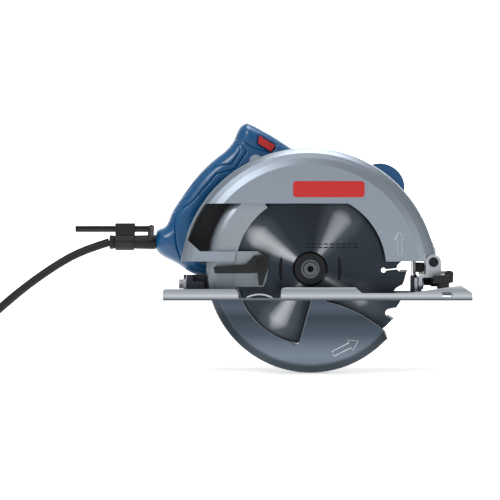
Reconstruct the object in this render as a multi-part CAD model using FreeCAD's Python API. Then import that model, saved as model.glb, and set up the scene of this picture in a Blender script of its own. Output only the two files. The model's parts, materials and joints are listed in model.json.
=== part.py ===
"""Corded circular saw for a 184 mm blade, one STEP file for each sub-part.

Shapes are drawn in the saw's own frame: X forward, Z up from the sole, Y from the blade towards the
motor, with the blade's plane at Y = 0 and the spindle at X = 0. save() moves them to the part's frame.
"""
import FreeCAD, Part

import math
import os

from FreeCAD import Vector

# ---- driving dimensions, in millimetres and degrees ----
SPINDLE_X = -6.0        # spindle ahead of the middle of the sole's length
BLADE_Y = -69.0         # blade plane, from the middle of the sole's broad strip
SPINDLE_Z = 29.0        # spindle above the sole at full depth
FLOOR_Z = -69.0         # lowest point of the lower guard, which is where the cord lies

BLADE_R = 92.0
TEETH = 12
BLADE_HALF = 0.8        # half the blade's thickness
TIP_HALF = 1.2          # half the kerf

GUARD_X = -2.0          # centre of the upper guard's rim
GUARD_Z = 22.4
GUARD_R = 121.0
GUARD_FACE_Y = -20.0
GUARD_BACK_Y = 21.0
GUARD_WALL = 2.6
GUARD_BOTTOM_Z = 36.1
WINDOW_TOP_Z = 90.6
WINDOW_R = 71.0

LOWER_R = 98.0          # lower guard
LOWER_FACE_Y = -14.0
LOWER_BACK_Y = 12.0
LOWER_WALL = 2.0
LOWER_INNER_R = 70.5
LOWER_FROM = 125.0      # angle of its rear end, from +X towards +Z
LOWER_SWEEP = 193.0
NOSE_R = 23.7           # collar of the casting that the lower guard turns on
HUB_R = 24.0

MODULE = 1.0
GEAR_TEETH = 43
PINION_TEETH = 9
GEAR_Y0, GEAR_Y1 = 33.0, 44.0
MOTOR_Z = SPINDLE_Z + MODULE * (GEAR_TEETH + PINION_TEETH) / 2
SHAFT_R = 6.0           # output spindle
SHAFT_NOSE_R = 5.0      # its narrower end, which carries the flanges
NOSE_Y1 = 6.0
ROTOR_SHAFT_R = 4.0
MOTOR_R = 44.0
CASE_Y1 = 50.0          # far face of the gear case
MOTOR_Y1 = 148.0        # far end of the motor housing
END_Y = 166.0
HOUSING_SCREW_R = 36.0  # circle of the end cap's screws
BRUSH_Y = 135.0

PIVOT_X, PIVOT_Z = 115.8, 35.4      # depth pivot
BEVEL_Y, BEVEL_Z = 2.0, 14.7        # bevel axis, along X
STUD_R = 32.0                       # bevel clamp stud, from the bevel axis
STUD_ANGLE = 8.0
BEVEL_RANGE = 45.0                  # how far the saw tilts to the side
ARM_R = 165.0                       # depth arm, from the depth pivot
ARM_HALF = 8.0
ARM_Y0, ARM_Y1 = 23.0, 26.0

PLATE_X0, PLATE_X1 = -138.0, 149.6
PLATE_Y0, PLATE_Y1 = -42.0, 105.0
SHEET = 2.0
SLOT_X0, SLOT_X1 = -101.0, 94.5
SLOT_Y0, SLOT_Y1 = -17.0, 33.0

HANDLE_Y = 56.0         # joint plane of the two handle shells
HANDLE_HALF = 18.0
HANDLE_WALL = 3.2
HANDLE_EDGE = 6.0       # rounding of the edges that the hand closes on

CORD_R = 4.0
CORD_Y = HANDLE_Y
CORD_Z = 54.6
SLEEVE_X0, SLEEVE_X1 = -193.7, -149.3
COIL_X = -438.0
COIL_R = 44.0           # middle of the coil's turns
COIL_HALF = 12.0        # half the section of its bundle of turns
COIL_Y = CORD_Y + COIL_R
CORD_ROUTE = [          # X and Z of the cord's points, from the sleeve to the coil
    (SLEEVE_X0 - 0.3, CORD_Z),
    (-219.0, 47.0),
    (-244.0, 33.5),
    (-275.0, 12.0),
    (-304.0, -12.5),
    (-330.0, -37.5),
    (-353.0, -55.5),
    (-378.0, FLOOR_Z + CORD_R),
    (-404.0, FLOOR_Z + CORD_R),
]

FENCE_SLOT_X0, FENCE_SLOT_X1 = 121.4, 131.0
FENCE_SLOT_Z0, FENCE_SLOT_Z1 = 3.4, 7.9
FENCE_SCREW_X, FENCE_SCREW_Y = 123.0, -33.5

LOCK_Y = 29.0           # axis of the spindle lock's pin, along X
SCREW_HOLE_R = 2.2
CASE_EAR = 9.0          # length of the gear case's screw ears
LEVER_X, LEVER_Z = -46.3, 35.4      # screw of the lower guard's lever

BEARING_R = 11.0        # outside of the armature's bearings
FRONT_BEARING_R = 16.0  # outside of the spindle's front bearing
FRONT_BEARING_Y0, FRONT_BEARING_Y1 = 7.4, 17.4
REAR_BEARING_Y0, REAR_BEARING_Y1 = 150.0, 157.0
CAN_WALL = 3.0          # wall of the motor housing
CAP_EDGE = 14.0         # rounding of the end cap's rim
LAND_R = 6.0            # pillars that take the end cap's screws
CAP_PILLAR = 8.0        # their height in the cap
CORE_Y0, CORE_Y1 = 74.0, 120.0      # stator laminations
CORE_BORE = 23.6
ROTOR_R = 23.0
COIL_IN, COIL_OUT = 26.6, 34.6      # distance of the field coils' faces from the motor's axis
FAN_Y0, FAN_Y1 = 54.0, 67.0
FAN_R = 36.0
FAN_VANES = 11
COMMUTATOR_Y0, COMMUTATOR_Y1 = 128.0, 143.0
COMMUTATOR_R = 13.0
BRUSH_HALF_Y, BRUSH_HALF_Z = 2.9, 3.4
HOLDER_WALL = 1.5
BRUSH_CAP_R = 7.0

HANDLE_BOSS_R = 5.5
HEAD_SINK = 4.0         # depth of a screw's head below the far shell's face
MECHANISM_HALF = 9.2    # half the width of the switch, and of the seats beside it
TRIGGER_HALF = 8.0

GRIP_X, GRIP_Z = 69.0, 109.0        # middle of the front handle's oval section
GRIP_LONG, GRIP_WIDE = 22.5, 20.5   # its half axes
GRIP_LEAN = 28.0
GRIP_END_Y = 118.0

EAR_R = 7.2             # ears of the front bracket, round the depth pivot
EAR_IN, EAR_OUT = 10.5, 13.5        # distance of an ear's faces from the blade's plane
PIVOT_PIN_R = 3.97
SHELF_Z0, SHELF_Z1 = 21.0, 24.0
LEG_X0, LEG_X1 = 102.0, 105.0
BEVEL_SLOT_R = 3.0      # half the width of the quadrant's slot, and its ends' radius
QUADRANT_X0, QUADRANT_X1 = 98.4, 101.2
DEPTH_BOLT_R = 2.95

PLUG_WIDE, PLUG_HIGH, PLUG_LONG = 34.0, 26.0, 30.0
PLUG_PIN_R, PLUG_PIN_LONG, PLUG_PIN_SPREAD = 2.4, 19.0, 9.5

FIT = 0.05              # radial clearance of a running fit


# ---- drawing helpers ----
def cylinder(start, end, radius):
    axis = Vector(*end) - Vector(*start)
    return Part.makeCylinder(radius, axis.Length, Vector(*start), axis)


def cyl_y(x, z, y0, y1, radius):
    return cylinder((x, y0, z), (x, y1, z), radius)


def cyl_x(y, z, x0, x1, radius):
    return cylinder((x0, y, z), (x1, y, z), radius)


def cyl_z(x, y, z0, z1, radius):
    return cylinder((x, y, z0), (x, y, z1), radius)


def ring_y(x, z, y0, y1, inner, outer):
    return cyl_y(x, z, y0, y1, outer).cut(cyl_y(x, z, y0 - 1, y1 + 1, inner))


def box(x0, x1, y0, y1, z0, z1):
    return Part.makeBox(x1 - x0, y1 - y0, z1 - z0, Vector(x0, y0, z0))


def fuse(shapes):
    whole = shapes[0].multiFuse(shapes[1:]) if len(shapes) > 1 else shapes[0]
    return whole.removeSplitter()


def prism_xz(points, y0, y1):
    """A polygon in the X-Z plane, carried from y0 to y1."""
    corners = [Vector(x, y0, z) for x, z in points]
    face = Part.Face(Part.makePolygon(corners + corners[:1]))
    return face.extrude(Vector(0, y1 - y0, 0))


def prism_yz(points, x0, x1):
    corners = [Vector(x0, y, z) for y, z in points]
    face = Part.Face(Part.makePolygon(corners + corners[:1]))
    return face.extrude(Vector(x1 - x0, 0, 0))


def prism_xy(points, z0, z1):
    corners = [Vector(x, y, z0) for x, y in points]
    face = Part.Face(Part.makePolygon(corners + corners[:1]))
    return face.extrude(Vector(0, 0, z1 - z0))


def smooth_xz(points, y0, y1):
    """A closed smooth curve in the X-Z plane, carried from y0 to y1."""
    curve = Part.BSplineCurve()
    curve.interpolate([Vector(x, y0, z) for x, z in points], PeriodicFlag=True)
    face = Part.Face(Part.Wire([curve.toShape()]))
    return face.extrude(Vector(0, y1 - y0, 0))


def at(x, z, radius, degrees):
    angle = math.radians(degrees)
    return (x + radius * math.cos(angle), z + radius * math.sin(angle))


def turned(profile, x, z, sweep, start):
    """Profile of (radius, y) points turned about the Y axis through x, z, from the angle start."""
    corners = [Vector(r, y, 0) for r, y in profile]
    face = Part.Face(Part.makePolygon(corners + corners[:1]))
    solid = face.revolve(Vector(0, 0, 0), Vector(0, 1, 0), -sweep)
    solid.rotate(Vector(0, 0, 0), Vector(0, 1, 0), -start)
    solid.translate(Vector(x, 0, z))
    return solid


def cone_edge(radius, face_y, width, depth):
    """Points of a sloping edge that leaves the flat face at a crease and rounds over into the rim."""
    steps = [(1.0, 0.0), (0.62, 0.17), (0.32, 0.40), (0.14, 0.62), (0.04, 0.82), (0.0, 1.0)]
    return [(radius - width * across, face_y + depth * down) for across, down in steps]


def about_motor(shape, degrees):
    """A shape drawn beside the origin, turned by degrees and moved to the motor's axis."""
    shape = shape.copy()
    shape.rotate(Vector(0, 0, 0), Vector(0, 1, 0), -degrees)
    shape.translate(Vector(0, 0, MOTOR_Z))
    return shape


def both_sides(shape):
    """A shape on the motor's +X side and its mirror on the other."""
    return [shape.mirror(Vector(0, 0, 0), Vector(1, 0, 0)), shape]


def hex_head(x, z, y0, y1, across_flats):
    corner = across_flats / math.sqrt(3)
    return prism_xz([at(x, z, corner, 60 * i) for i in range(6)], y0, y1)


def save(name, shape):
    if isinstance(shape, list):
        shape = Part.makeCompound(shape)
    shape = shape.copy()
    shape.translate(Vector(SPINDLE_X, BLADE_Y, 0))
    solids = shape.Solids
    for solid in solids:
        assert solid.isValid() and solid.Volume > 0, name
    whole = solids[0] if len(solids) == 1 else Part.makeCompound(solids)
    whole.exportStep(f"parts/{name}.step")
    print(f"{name:22s} {len(solids):3d} solids {whole.Volume / 1000:9.2f} cm3")


# ---- blade, flanges and spindle ----
def blade_outline():
    """One tooth's points from its tip round to the next tooth, as (degrees behind the tip, radius)."""
    tooth = [(0.0, 91.4), (5.0, 90.0), (7.8, 89.0), (10.5, 84.0), (12.8, 82.0), (15.0, 86.0), (16.2, 90.0),
             (17.3, 91.0), (22.5, 89.4), (24.0, 86.0), (25.8, 82.8), (27.6, 82.0), (29.0, 82.8), (29.9,
                                                                                                  85.0)]
    first_tip = -1.7
    points = []
    for n in range(TEETH):
        for back, radius in tooth:
            points.append(at(0, SPINDLE_Z, radius, first_tip - 360.0 / TEETH * n - back))
    return points


def saw_blade():
    plate = prism_xz(blade_outline(), -BLADE_HALF, BLADE_HALF)
    plate = plate.cut(cyl_y(0, SPINDLE_Z, -2, 2, 8.0))
    for n in range(4):
        angle = -31.5 + 0.5 - 90 * n + 30
        hole_x, hole_z = at(0, SPINDLE_Z, 69.5, angle)
        end_x, end_z = at(0, SPINDLE_Z, 90, angle + 1.6)
        plate = plate.cut(cyl_y(hole_x, hole_z, -2, 2, 2.3))
        run = Vector(end_x - hole_x, 0, end_z - hole_z)
        side = Vector(-run.z, 0, run.x).normalize() * 0.45
        corners = [(hole_x + side.x, hole_z + side.z), (end_x + side.x, end_z + side.z),
                   (end_x - side.x, end_z - side.z), (hole_x - side.x, hole_z - side.z)]
        plate = plate.cut(prism_xz(corners, -2, 2))
    return plate


def carbide_tips():
    tips = []
    for n in range(TEETH):
        angle = -1.7 - 360.0 / TEETH * n
        points = [at(0, SPINDLE_Z, 85.0, angle + 0.12), at(0, SPINDLE_Z, 91.4, angle + 0.02),
                  at(0, SPINDLE_Z, BLADE_R, angle + 0.1), at(0, SPINDLE_Z, BLADE_R, angle + 1.3),
                  at(0, SPINDLE_Z, 85.0, angle + 1.3)]
        tips.append(prism_xz(points, -TIP_HALF, TIP_HALF))
    return tips


def gear_points(teeth, middle, phase, addendum, dedendum, backlash, pressure=25.0):
    """Outline of a straight-cut gear about middle, with one tooth centred on the angle phase."""
    pitch_r = MODULE * teeth / 2
    base_r = pitch_r * math.cos(math.radians(pressure))
    tip_r = pitch_r + addendum * MODULE
    root_r = pitch_r - dedendum * MODULE
    alpha = math.radians(pressure)
    half = (math.pi * MODULE / 2 - backlash) / (2 * pitch_r) + math.tan(alpha) - alpha
    radii = [max(base_r, root_r) + (tip_r - max(base_r, root_r)) * i / 4 for i in range(5)]
    flank = [(root_r, half)] if root_r < base_r else []
    for radius in radii:
        slope = math.acos(min(1.0, base_r / radius))
        flank.append((radius, half - math.tan(slope) + slope))
    points = []
    for n in range(teeth):
        centre = phase + 360.0 / teeth * n
        for radius, offset in flank:
            points.append(at(*middle, radius, centre - math.degrees(offset)))
        for radius, offset in reversed(flank):
            points.append(at(*middle, radius, centre + math.degrees(offset)))
    return points


def driven_gear():
    points = gear_points(GEAR_TEETH, (0, SPINDLE_Z), 90 + 180.0 / GEAR_TEETH, 0.9, 1.35, 0.16)
    gear = prism_xz(points, GEAR_Y0, GEAR_Y1)
    gear = gear.cut(cyl_y(0, SPINDLE_Z, GEAR_Y0 - 1, GEAR_Y1 + 1, SHAFT_R))
    for n in range(6):
        x, z = at(0, SPINDLE_Z, 13.5, 60 * n)
        gear = gear.cut(cyl_y(x, z, GEAR_Y0 - 1, GEAR_Y1 + 1, 3.0))
    return gear


def pinion():
    points = gear_points(PINION_TEETH, (0, MOTOR_Z), -90, 0.9, 1.25, 0.16)
    gear = prism_xz(points, GEAR_Y0 + 0.5, GEAR_Y1 - 0.5)
    return gear.cut(cyl_y(0, MOTOR_Z, GEAR_Y0 - 1, GEAR_Y1 + 1, 2.2))


def output_spindle():
    body = cyl_y(0, SPINDLE_Z, NOSE_Y1, CASE_Y1 - 1.0, SHAFT_R)
    nose = cyl_y(0, SPINDLE_Z, -3.5, NOSE_Y1, SHAFT_NOSE_R)
    collar = cyl_y(0, SPINDLE_Z, FRONT_BEARING_Y1 + 0.2, GUARD_BACK_Y, 9.0)
    shaft = fuse([body, nose, collar])
    return shaft.cut(cyl_y(0, SPINDLE_Z, -4, 14, 2.5))


def inner_flange():
    flange = fuse([cyl_y(0, SPINDLE_Z, BLADE_HALF, 4.0, 18.0), cyl_y(0, SPINDLE_Z, 4.0, 6.8, 10.0),
                   cyl_y(0, SPINDLE_Z, -BLADE_HALF, BLADE_HALF, 7.95)])
    flange = flange.cut(cyl_y(0, SPINDLE_Z, -2, NOSE_Y1, SHAFT_NOSE_R))
    return flange.cut(cyl_y(0, SPINDLE_Z, NOSE_Y1, 8, SHAFT_R))


def outer_flange():
    profile = [(5.0, -BLADE_HALF), (16.5, -BLADE_HALF), (16.5, -3.2), (14.6, -5.0), (5.0, -5.0)]
    return turned(profile, 0, SPINDLE_Z, 360, 0)


def blade_bolt():
    head = turned([(0, -5.0), (8.7, -5.0), (8.7, -6.4), (6.9, -6.4), (6.9, -11.0), (6.3, -11.8), (0, -11.8)],
                  0, SPINDLE_Z, 360, 0)
    head = head.cut(hex_head(0, SPINDLE_Z, -12, -7.5, 6.0))
    return fuse([head, cyl_y(0, SPINDLE_Z, -5.0, 13.0, 2.45)])


# ---- lower guard ----
def lower_guard():
    edge = cone_edge(LOWER_R, LOWER_FACE_Y, 8.5, 7.0)
    inner_edge = cone_edge(LOWER_R - LOWER_WALL, LOWER_FACE_Y + LOWER_WALL, 7.4, 6.0)
    section = [(LOWER_INNER_R, LOWER_FACE_Y)] + edge + [(LOWER_R, LOWER_BACK_Y), (HUB_R + 2, LOWER_BACK_Y),
               (HUB_R + 2, LOWER_BACK_Y - LOWER_WALL), (LOWER_R - LOWER_WALL, LOWER_BACK_Y - LOWER_WALL)]
    section += list(reversed(inner_edge)) + [(LOWER_INNER_R, LOWER_FACE_Y + LOWER_WALL)]
    pot = turned(section, 0, SPINDLE_Z, LOWER_SWEEP, LOWER_FROM)
    front = [(2.6, 5.5), (15.5, -1.3), (28.0, -4.6), (40.0, -9.5), (49.0, -14.0), (57.0, -19.3), (64.5,
                                                                                                  -24.3),
             (70.0, -29.4), (72.6, -36.8), (60.0, -46.0), (30.0, -46.0), (0.0, -46.5), (-16.0, -43.8),
             (-12.0, -42.2), (-9.6, -39.4), (-8.4, -35.5)]
    cheek = prism_xz(front, LOWER_FACE_Y, LOWER_FACE_Y + LOWER_WALL)
    tab_points = [(-72.0, 12.3), (-44.5, 12.3), (-41.5, 18.0), (-40.0, 28.5), (-41.5, 36.0), (-45.0, 42.5),
                  (-50.0, 45.7), (-70.0, 45.7)]
    tab = prism_xz(tab_points, LOWER_FACE_Y - 2.0, LOWER_FACE_Y + 0.2)
    hub = ring_y(0, SPINDLE_Z, LOWER_BACK_Y - 3.4, LOWER_BACK_Y + 2.4, HUB_R, HUB_R + 4)
    guard = fuse([pot, cheek, tab, hub])
    return guard.cut(cyl_y(LEVER_X, LEVER_Z, -18, -11, 2.6))


def guard_lever():
    arm = [(-91.2, 31.2), (-90.0, 25.0), (-59.0, 25.0), (-50.0, 25.4), (-48.6, 13.8), (-45.4, 13.6),
           (-40.9, 27.2), (-39.6, 34.0), (-41.5, 40.0), (-46.3, 42.3), (-53.0, 41.6), (-61.5, 33.2)]
    blade = prism_xz(arm, -24.8, -21.0)
    boss = cyl_y(LEVER_X, LEVER_Z, -29.0, LOWER_FACE_Y - 2.0, 7.2)
    lever = fuse([blade, boss])
    return lever.cut(cyl_y(LEVER_X, LEVER_Z, -30, -15, 2.6)).cut(cyl_y(LEVER_X, LEVER_Z, -30, -26, 5.0))


def lever_screw():
    head = cyl_y(LEVER_X, LEVER_Z, -28.4, -26.0, 4.6)
    head = head.cut(hex_head(LEVER_X, LEVER_Z, -29, -27.0, 4.0))
    return fuse([head, cyl_y(LEVER_X, LEVER_Z, -26.0, -12.5, 2.55)])


# ---- castings of the saw ----
def rim_section(radius, face_y, back_y, width, depth):
    return [(0, face_y)] + cone_edge(radius, face_y, width, depth) + [(radius, back_y), (0, back_y)]


def window_cutter():
    """The opening in the guard's face: flat on top, an arc in front, open to the rear rim."""
    points = [at(0, SPINDLE_Z, WINDOW_R, 2.0 + 3.25 * i) for i in range(18)]
    points += [(34.5, WINDOW_TOP_Z), (-125.0, WINDOW_TOP_Z), (-125.0, 30.0), (73.0, 30.0), (73.0, 34.5)]
    cutter = prism_xz(points, GUARD_FACE_Y - 1, -6.0)
    inside = cyl_y(GUARD_X, GUARD_Z, GUARD_FACE_Y - 1, -6.0, GUARD_R - GUARD_WALL)
    bar = [(-125.0, 30.0), (-73.0, 30.0), (-69.9, 45.6), (-104.0, 45.6), (-116.5, 57.0), (-125.0, 57.0)]
    return cutter.common(inside).cut(prism_xz(bar, GUARD_FACE_Y - 2, 0))


def upper_guard():
    outer = turned(rim_section(GUARD_R, GUARD_FACE_Y, GUARD_BACK_Y, 16.0, 12.0), GUARD_X, GUARD_Z, 360, 0)
    inner = turned(rim_section(GUARD_R - GUARD_WALL, GUARD_FACE_Y + GUARD_WALL, GUARD_BACK_Y - GUARD_WALL,
                               15.0, 11.0), GUARD_X, GUARD_Z, 360, 0)
    shell = outer.cut(inner)
    shell = shell.cut(box(-140, 140, -30, 30, -120, GUARD_BOTTOM_Z))
    shell = shell.cut(window_cutter())
    # notch for the depth pivot's ears, and a deeper one behind for the bevel quadrant
    shell = shell.cut(box(106.9, 130, -30, 30, 30, 44.0))
    shell = shell.cut(box(92, 130, 14, 30, 30, 53.0))
    collar = cyl_y(0, SPINDLE_Z, 7.4, GUARD_BACK_Y, NOSE_R)
    face_web = cyl_y(0, SPINDLE_Z, GUARD_BACK_Y - GUARD_WALL, GUARD_BACK_Y, 26.0)
    lug = fuse([cyl_y(PIVOT_X, PIVOT_Z, -10.2, 10.2, 7.0),
                prism_xz([(109.0, 36.0), (116.0, 30.0), (118.6, 36.0), (118.0, 47.0), (112.0, 62.0),
                          (106.0, 62.0), (108.4, 46.0)], -10.2, 10.2)])
    lug = lug.cut(cyl_y(PIVOT_X, PIVOT_Z, -12, 12, 4.0 + FIT))
    spacer = cyl_y(*depth_bolt_place(), GUARD_BACK_Y - 0.2, ARM_Y0 - 0.4, 6.0)
    rim_bump = cyl_y(-51.5, 131.0, GUARD_FACE_Y + 13, GUARD_BACK_Y, 6.0)
    rim_bump = rim_bump.cut(cyl_y(GUARD_X, GUARD_Z, GUARD_FACE_Y, GUARD_BACK_Y + 1, GUARD_R - 1))
    guard = fuse([shell, collar, face_web, lug, spacer, rim_bump])
    guard = guard.cut(cyl_y(0, SPINDLE_Z, 7.0, FRONT_BEARING_Y1, FRONT_BEARING_R))
    guard = guard.cut(cyl_y(0, SPINDLE_Z, 17.0, GUARD_BACK_Y + 1, 12.0))
    guard = guard.cut(cyl_y(*depth_bolt_place(), GUARD_BACK_Y - 6, ARM_Y0 + 1, 3.0))
    for x, z in case_screw_places():
        guard = guard.cut(cyl_y(x, z, 15, 24, SCREW_HOLE_R))
    return guard


def case_screw_places():
    return [at(0, SPINDLE_Z, 34.0, 29), at(0, SPINDLE_Z, 34.0, 151), (-17.0, 76.0), (17.0, 76.0)]


def depth_bolt_place():
    return at(PIVOT_X, PIVOT_Z, ARM_R, 176.0)


def pear(spindle_r, motor_r, y0, y1):
    """The gear train's outline: a circle about the spindle run into one about the motor's axis."""
    low = cyl_y(0, SPINDLE_Z, y0, y1, spindle_r)
    high = cyl_y(0, MOTOR_Z, y0, y1, motor_r)
    lean = math.asin((spindle_r - motor_r) / (MOTOR_Z - SPINDLE_Z))
    side = math.degrees(lean)
    middle = [at(0, SPINDLE_Z, spindle_r, side), at(0, MOTOR_Z, motor_r, side),
              at(0, MOTOR_Z, motor_r, 180 - side), at(0, SPINDLE_Z, spindle_r, 180 - side)]
    return fuse([low, high, prism_xz(middle, y0, y1)])


def gear_case():
    body = pear(25.5, 22.0, GUARD_BACK_Y, CASE_Y1 - 4.0)
    rear_seat = cyl_y(0, SPINDLE_Z, CASE_Y1 - 5.0, CASE_Y1, 13.0)
    ears = [cyl_y(x, z, GUARD_BACK_Y, GUARD_BACK_Y + CASE_EAR, 6.5) for x, z in case_screw_places()]
    flange = ring_y(0, MOTOR_Z, CASE_Y1 - 4.0, CASE_Y1, 10.0, MOTOR_R - 3.2)
    body = fuse([body, rear_seat, flange] + ears)
    body = body.cut(box(-60, 60, 0, 60, -20, 3.6))
    body = body.cut(pear(23.0, 12.0, GUARD_BACK_Y - 1, GEAR_Y1 + 1.0))
    body = body.cut(cyl_y(0, SPINDLE_Z, GEAR_Y1, CASE_Y1 - 0.8, 10.0))
    body = body.cut(cyl_y(0, MOTOR_Z, GEAR_Y1, CASE_Y1 + 1, BEARING_R))
    body = body.cut(cyl_x(LOCK_Y, SPINDLE_Z, 20, 40, 3.0 + FIT))
    for x, z in case_screw_places():
        body = body.cut(cyl_y(x, z, 15, 40, SCREW_HOLE_R))
    return body


def bearing(x, z, y0, y1, inner, outer):
    """A ball bearing as an inner ring, an outer ring and seven balls between them."""
    mid = (inner + outer) / 2
    ball = (outer - inner) * 0.26
    groove = Part.makeTorus(mid, ball + 0.05, Vector(x, (y0 + y1) / 2, z), Vector(0, 1, 0))
    rings = [ring_y(x, z, y0, y1, inner, mid - ball * 0.55).cut(groove),
             ring_y(x, z, y0, y1, mid + ball * 0.55, outer).cut(groove)]
    for n in range(7):
        bx, bz = at(x, z, mid, 360.0 / 7 * n)
        rings.append(Part.makeSphere(ball, Vector(bx, (y0 + y1) / 2, bz)))
    return rings


def spindle_bearings():
    front = bearing(0, SPINDLE_Z, FRONT_BEARING_Y0, FRONT_BEARING_Y1, SHAFT_R + FIT, FRONT_BEARING_R)
    rear = ring_y(0, SPINDLE_Z, GEAR_Y1 + 1.0, CASE_Y1 - 0.8, SHAFT_R + FIT, 10.0)
    return front + [rear]


def armature_bearings():
    front = bearing(0, MOTOR_Z, GEAR_Y1 + 1.0, CASE_Y1 + 1.0, ROTOR_SHAFT_R + FIT, BEARING_R)
    rear = bearing(0, MOTOR_Z, REAR_BEARING_Y0, REAR_BEARING_Y1, ROTOR_SHAFT_R + FIT, BEARING_R)
    return front + rear


def screw_y(x, z, head_y, tip_y, shank=2.1, head=4.0, head_length=2.6):
    """A pan-head screw along Y with a slot for the driver; its head is on the side away from tip_y."""
    away = -1 if tip_y > head_y else 1
    top = head_y + away * head_length
    slot_depth = 1.3
    cap = cyl_y(x, z, min(head_y, top), max(head_y, top), head)
    slot = box(x - head, x + head, min(top, top - away * slot_depth), max(top, top - away * slot_depth),
               z - 0.5, z + 0.5)
    return fuse([cap.cut(slot), cyl_y(x, z, min(head_y, tip_y), max(head_y, tip_y), shank)])


def case_screws():
    head_y, tip_y = GUARD_BACK_Y + CASE_EAR, GUARD_BACK_Y - GUARD_WALL
    return [screw_y(x, z, head_y, tip_y) for x, z in case_screw_places()]


# ---- motor ----
def motor_housing():
    can = ring_y(0, MOTOR_Z, CASE_Y1 - 4.0, MOTOR_Y1, MOTOR_R - CAN_WALL, MOTOR_R)
    baffle = ring_y(0, MOTOR_Z, FAN_Y1 + 3.0, FAN_Y1 + 5.0, 27.0, MOTOR_R - 2.5)
    lands = [cyl_y(x, z, CORE_Y1 + 1.0, MOTOR_Y1, LAND_R) for x, z in housing_screw_places()]
    housing = fuse([can, baffle] + lands)
    air_slit = box(MOTOR_R - 8, MOTOR_R + 8, FAN_Y0, FAN_Y1 - 1.0, -1.4, 1.4)
    for angle in range(0, 360, 20):
        # none under the front handle and the handle's root
        if not 60 < angle < 130:
            housing = housing.cut(about_motor(air_slit, angle))
    for x, z in housing_screw_places():
        housing = housing.cut(cyl_y(x, z, CORE_Y1, MOTOR_Y1 + 1, 1.9))
    return housing.cut(cyl_x(BRUSH_Y, MOTOR_Z, -60, 60, BRUSH_CAP_R))


def housing_screw_places():
    return [at(0, MOTOR_Z, HOUSING_SCREW_R, angle) for angle in (45, 135, 225, 315)]


def end_cap():
    """A domed cap with a bearing seat in its middle, air slits and four sunk screw holes."""
    rim_r, rim_y = MOTOR_R - CAP_EDGE, END_Y - CAP_EDGE
    outer_rim = [at(rim_r, rim_y, CAP_EDGE, a) for a in (75, 60, 45, 30, 15, 0)]
    inner_rim = [at(rim_r - CAN_WALL, rim_y - CAN_WALL, CAP_EDGE, a) for a in (0, 30, 60)]
    seat_r = BEARING_R + CAN_WALL
    profile = [(0, END_Y), (30, END_Y)] + outer_rim + [(MOTOR_R, MOTOR_Y1), (MOTOR_R - CAN_WALL, MOTOR_Y1)]
    profile += inner_rim + [(seat_r, END_Y - CAN_WALL), (seat_r, REAR_BEARING_Y0), (0, REAR_BEARING_Y0)]
    cap = turned(profile, 0, MOTOR_Z, 360, 0)
    cap = cap.cut(cyl_y(0, MOTOR_Z, REAR_BEARING_Y0 - 1, REAR_BEARING_Y1, BEARING_R))
    cap = cap.cut(cyl_y(0, MOTOR_Z, REAR_BEARING_Y1 - 1, REAR_BEARING_Y1 + 3, 6.0))
    air_slit = box(18, 29, END_Y - 8, END_Y + 1, -1.5, 1.5)
    for n in range(12):
        cap = cap.cut(about_motor(air_slit, 30.0 * n + 15))
    for x, z in housing_screw_places():
        cap = cap.fuse(cyl_y(x, z, MOTOR_Y1, MOTOR_Y1 + CAP_PILLAR, LAND_R))
        cap = cap.cut(cyl_y(x, z, MOTOR_Y1 - 1, END_Y + 1, SCREW_HOLE_R))
        cap = cap.cut(cyl_y(x, z, MOTOR_Y1 + CAP_PILLAR, END_Y + 1, 4.4))
    return cap.removeSplitter()


def housing_screws():
    head_y, tip_y = MOTOR_Y1 + CAP_PILLAR, CORE_Y1 + 5.0
    return [screw_y(x, z, head_y, tip_y, shank=1.9) for x, z in housing_screw_places()]


def coil_section(margin):
    """Corners of the space a field coil takes on the +X side, grown by margin."""
    near, far = COIL_IN - margin * 0.6, COIL_OUT + margin * 0.4
    near_half, far_half = 17.5 + margin * 1.5, 14.0 + margin
    return [(near, MOTOR_Z - near_half), (far, MOTOR_Z - far_half),
            (far, MOTOR_Z + far_half), (near, MOTOR_Z + near_half)]


def stator_core():
    core = ring_y(0, MOTOR_Z, CORE_Y0, CORE_Y1, CORE_BORE, MOTOR_R - CAN_WALL - 0.1)
    for window in both_sides(prism_xz(coil_section(1.0), CORE_Y0 - 1, CORE_Y1 + 1)):
        core = core.cut(window)
    return core


def field_coils():
    return both_sides(prism_xz(coil_section(0.0), CORE_Y0 - 1.0, CORE_Y1 + 4.0))


def armature_core():
    y0, y1 = CORE_Y0 + 1.0, CORE_Y1 - 1.0
    core = cyl_y(0, MOTOR_Z, y0, y1, ROTOR_R)
    slot = fuse([cyl_y(20.0, 0, y0 - 1, y1 + 1, 2.0), box(19.0, ROTOR_R + 1, y0 - 1, y1 + 1, -0.9, 0.9)])
    for n in range(12):
        core = core.cut(about_motor(slot, 30.0 * n))
    return core.cut(cyl_y(0, MOTOR_Z, y0 - 1, y1 + 1, ROTOR_SHAFT_R))


def armature_windings():
    front = turned([(7, 74.9), (21, 74.9), (21, 73.0), (18, 71.0), (7, 71.0)], 0, MOTOR_Z, 360, 0)
    rear = turned([(7, 119.1), (21.5, 119.1), (21.5, 122.5), (17, 126.0), (7, 126.0)], 0, MOTOR_Z, 360, 0)
    return [front, rear]


def commutator():
    drum = ring_y(0, MOTOR_Z, COMMUTATOR_Y0, COMMUTATOR_Y1, ROTOR_SHAFT_R, COMMUTATOR_R)
    slot = box(COMMUTATOR_R - 0.8, COMMUTATOR_R + 1, COMMUTATOR_Y0 - 1, COMMUTATOR_Y1 + 1, -0.3, 0.3)
    for n in range(24):
        drum = drum.cut(about_motor(slot, 15.0 * n))
    return drum


def armature_shaft():
    step_y = GEAR_Y1 + 0.5
    thin_end = cyl_y(0, MOTOR_Z, GEAR_Y0 - 1, step_y, 2.2)
    return fuse([thin_end, cyl_y(0, MOTOR_Z, step_y, REAR_BEARING_Y1 + 0.5, ROTOR_SHAFT_R)])


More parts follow.
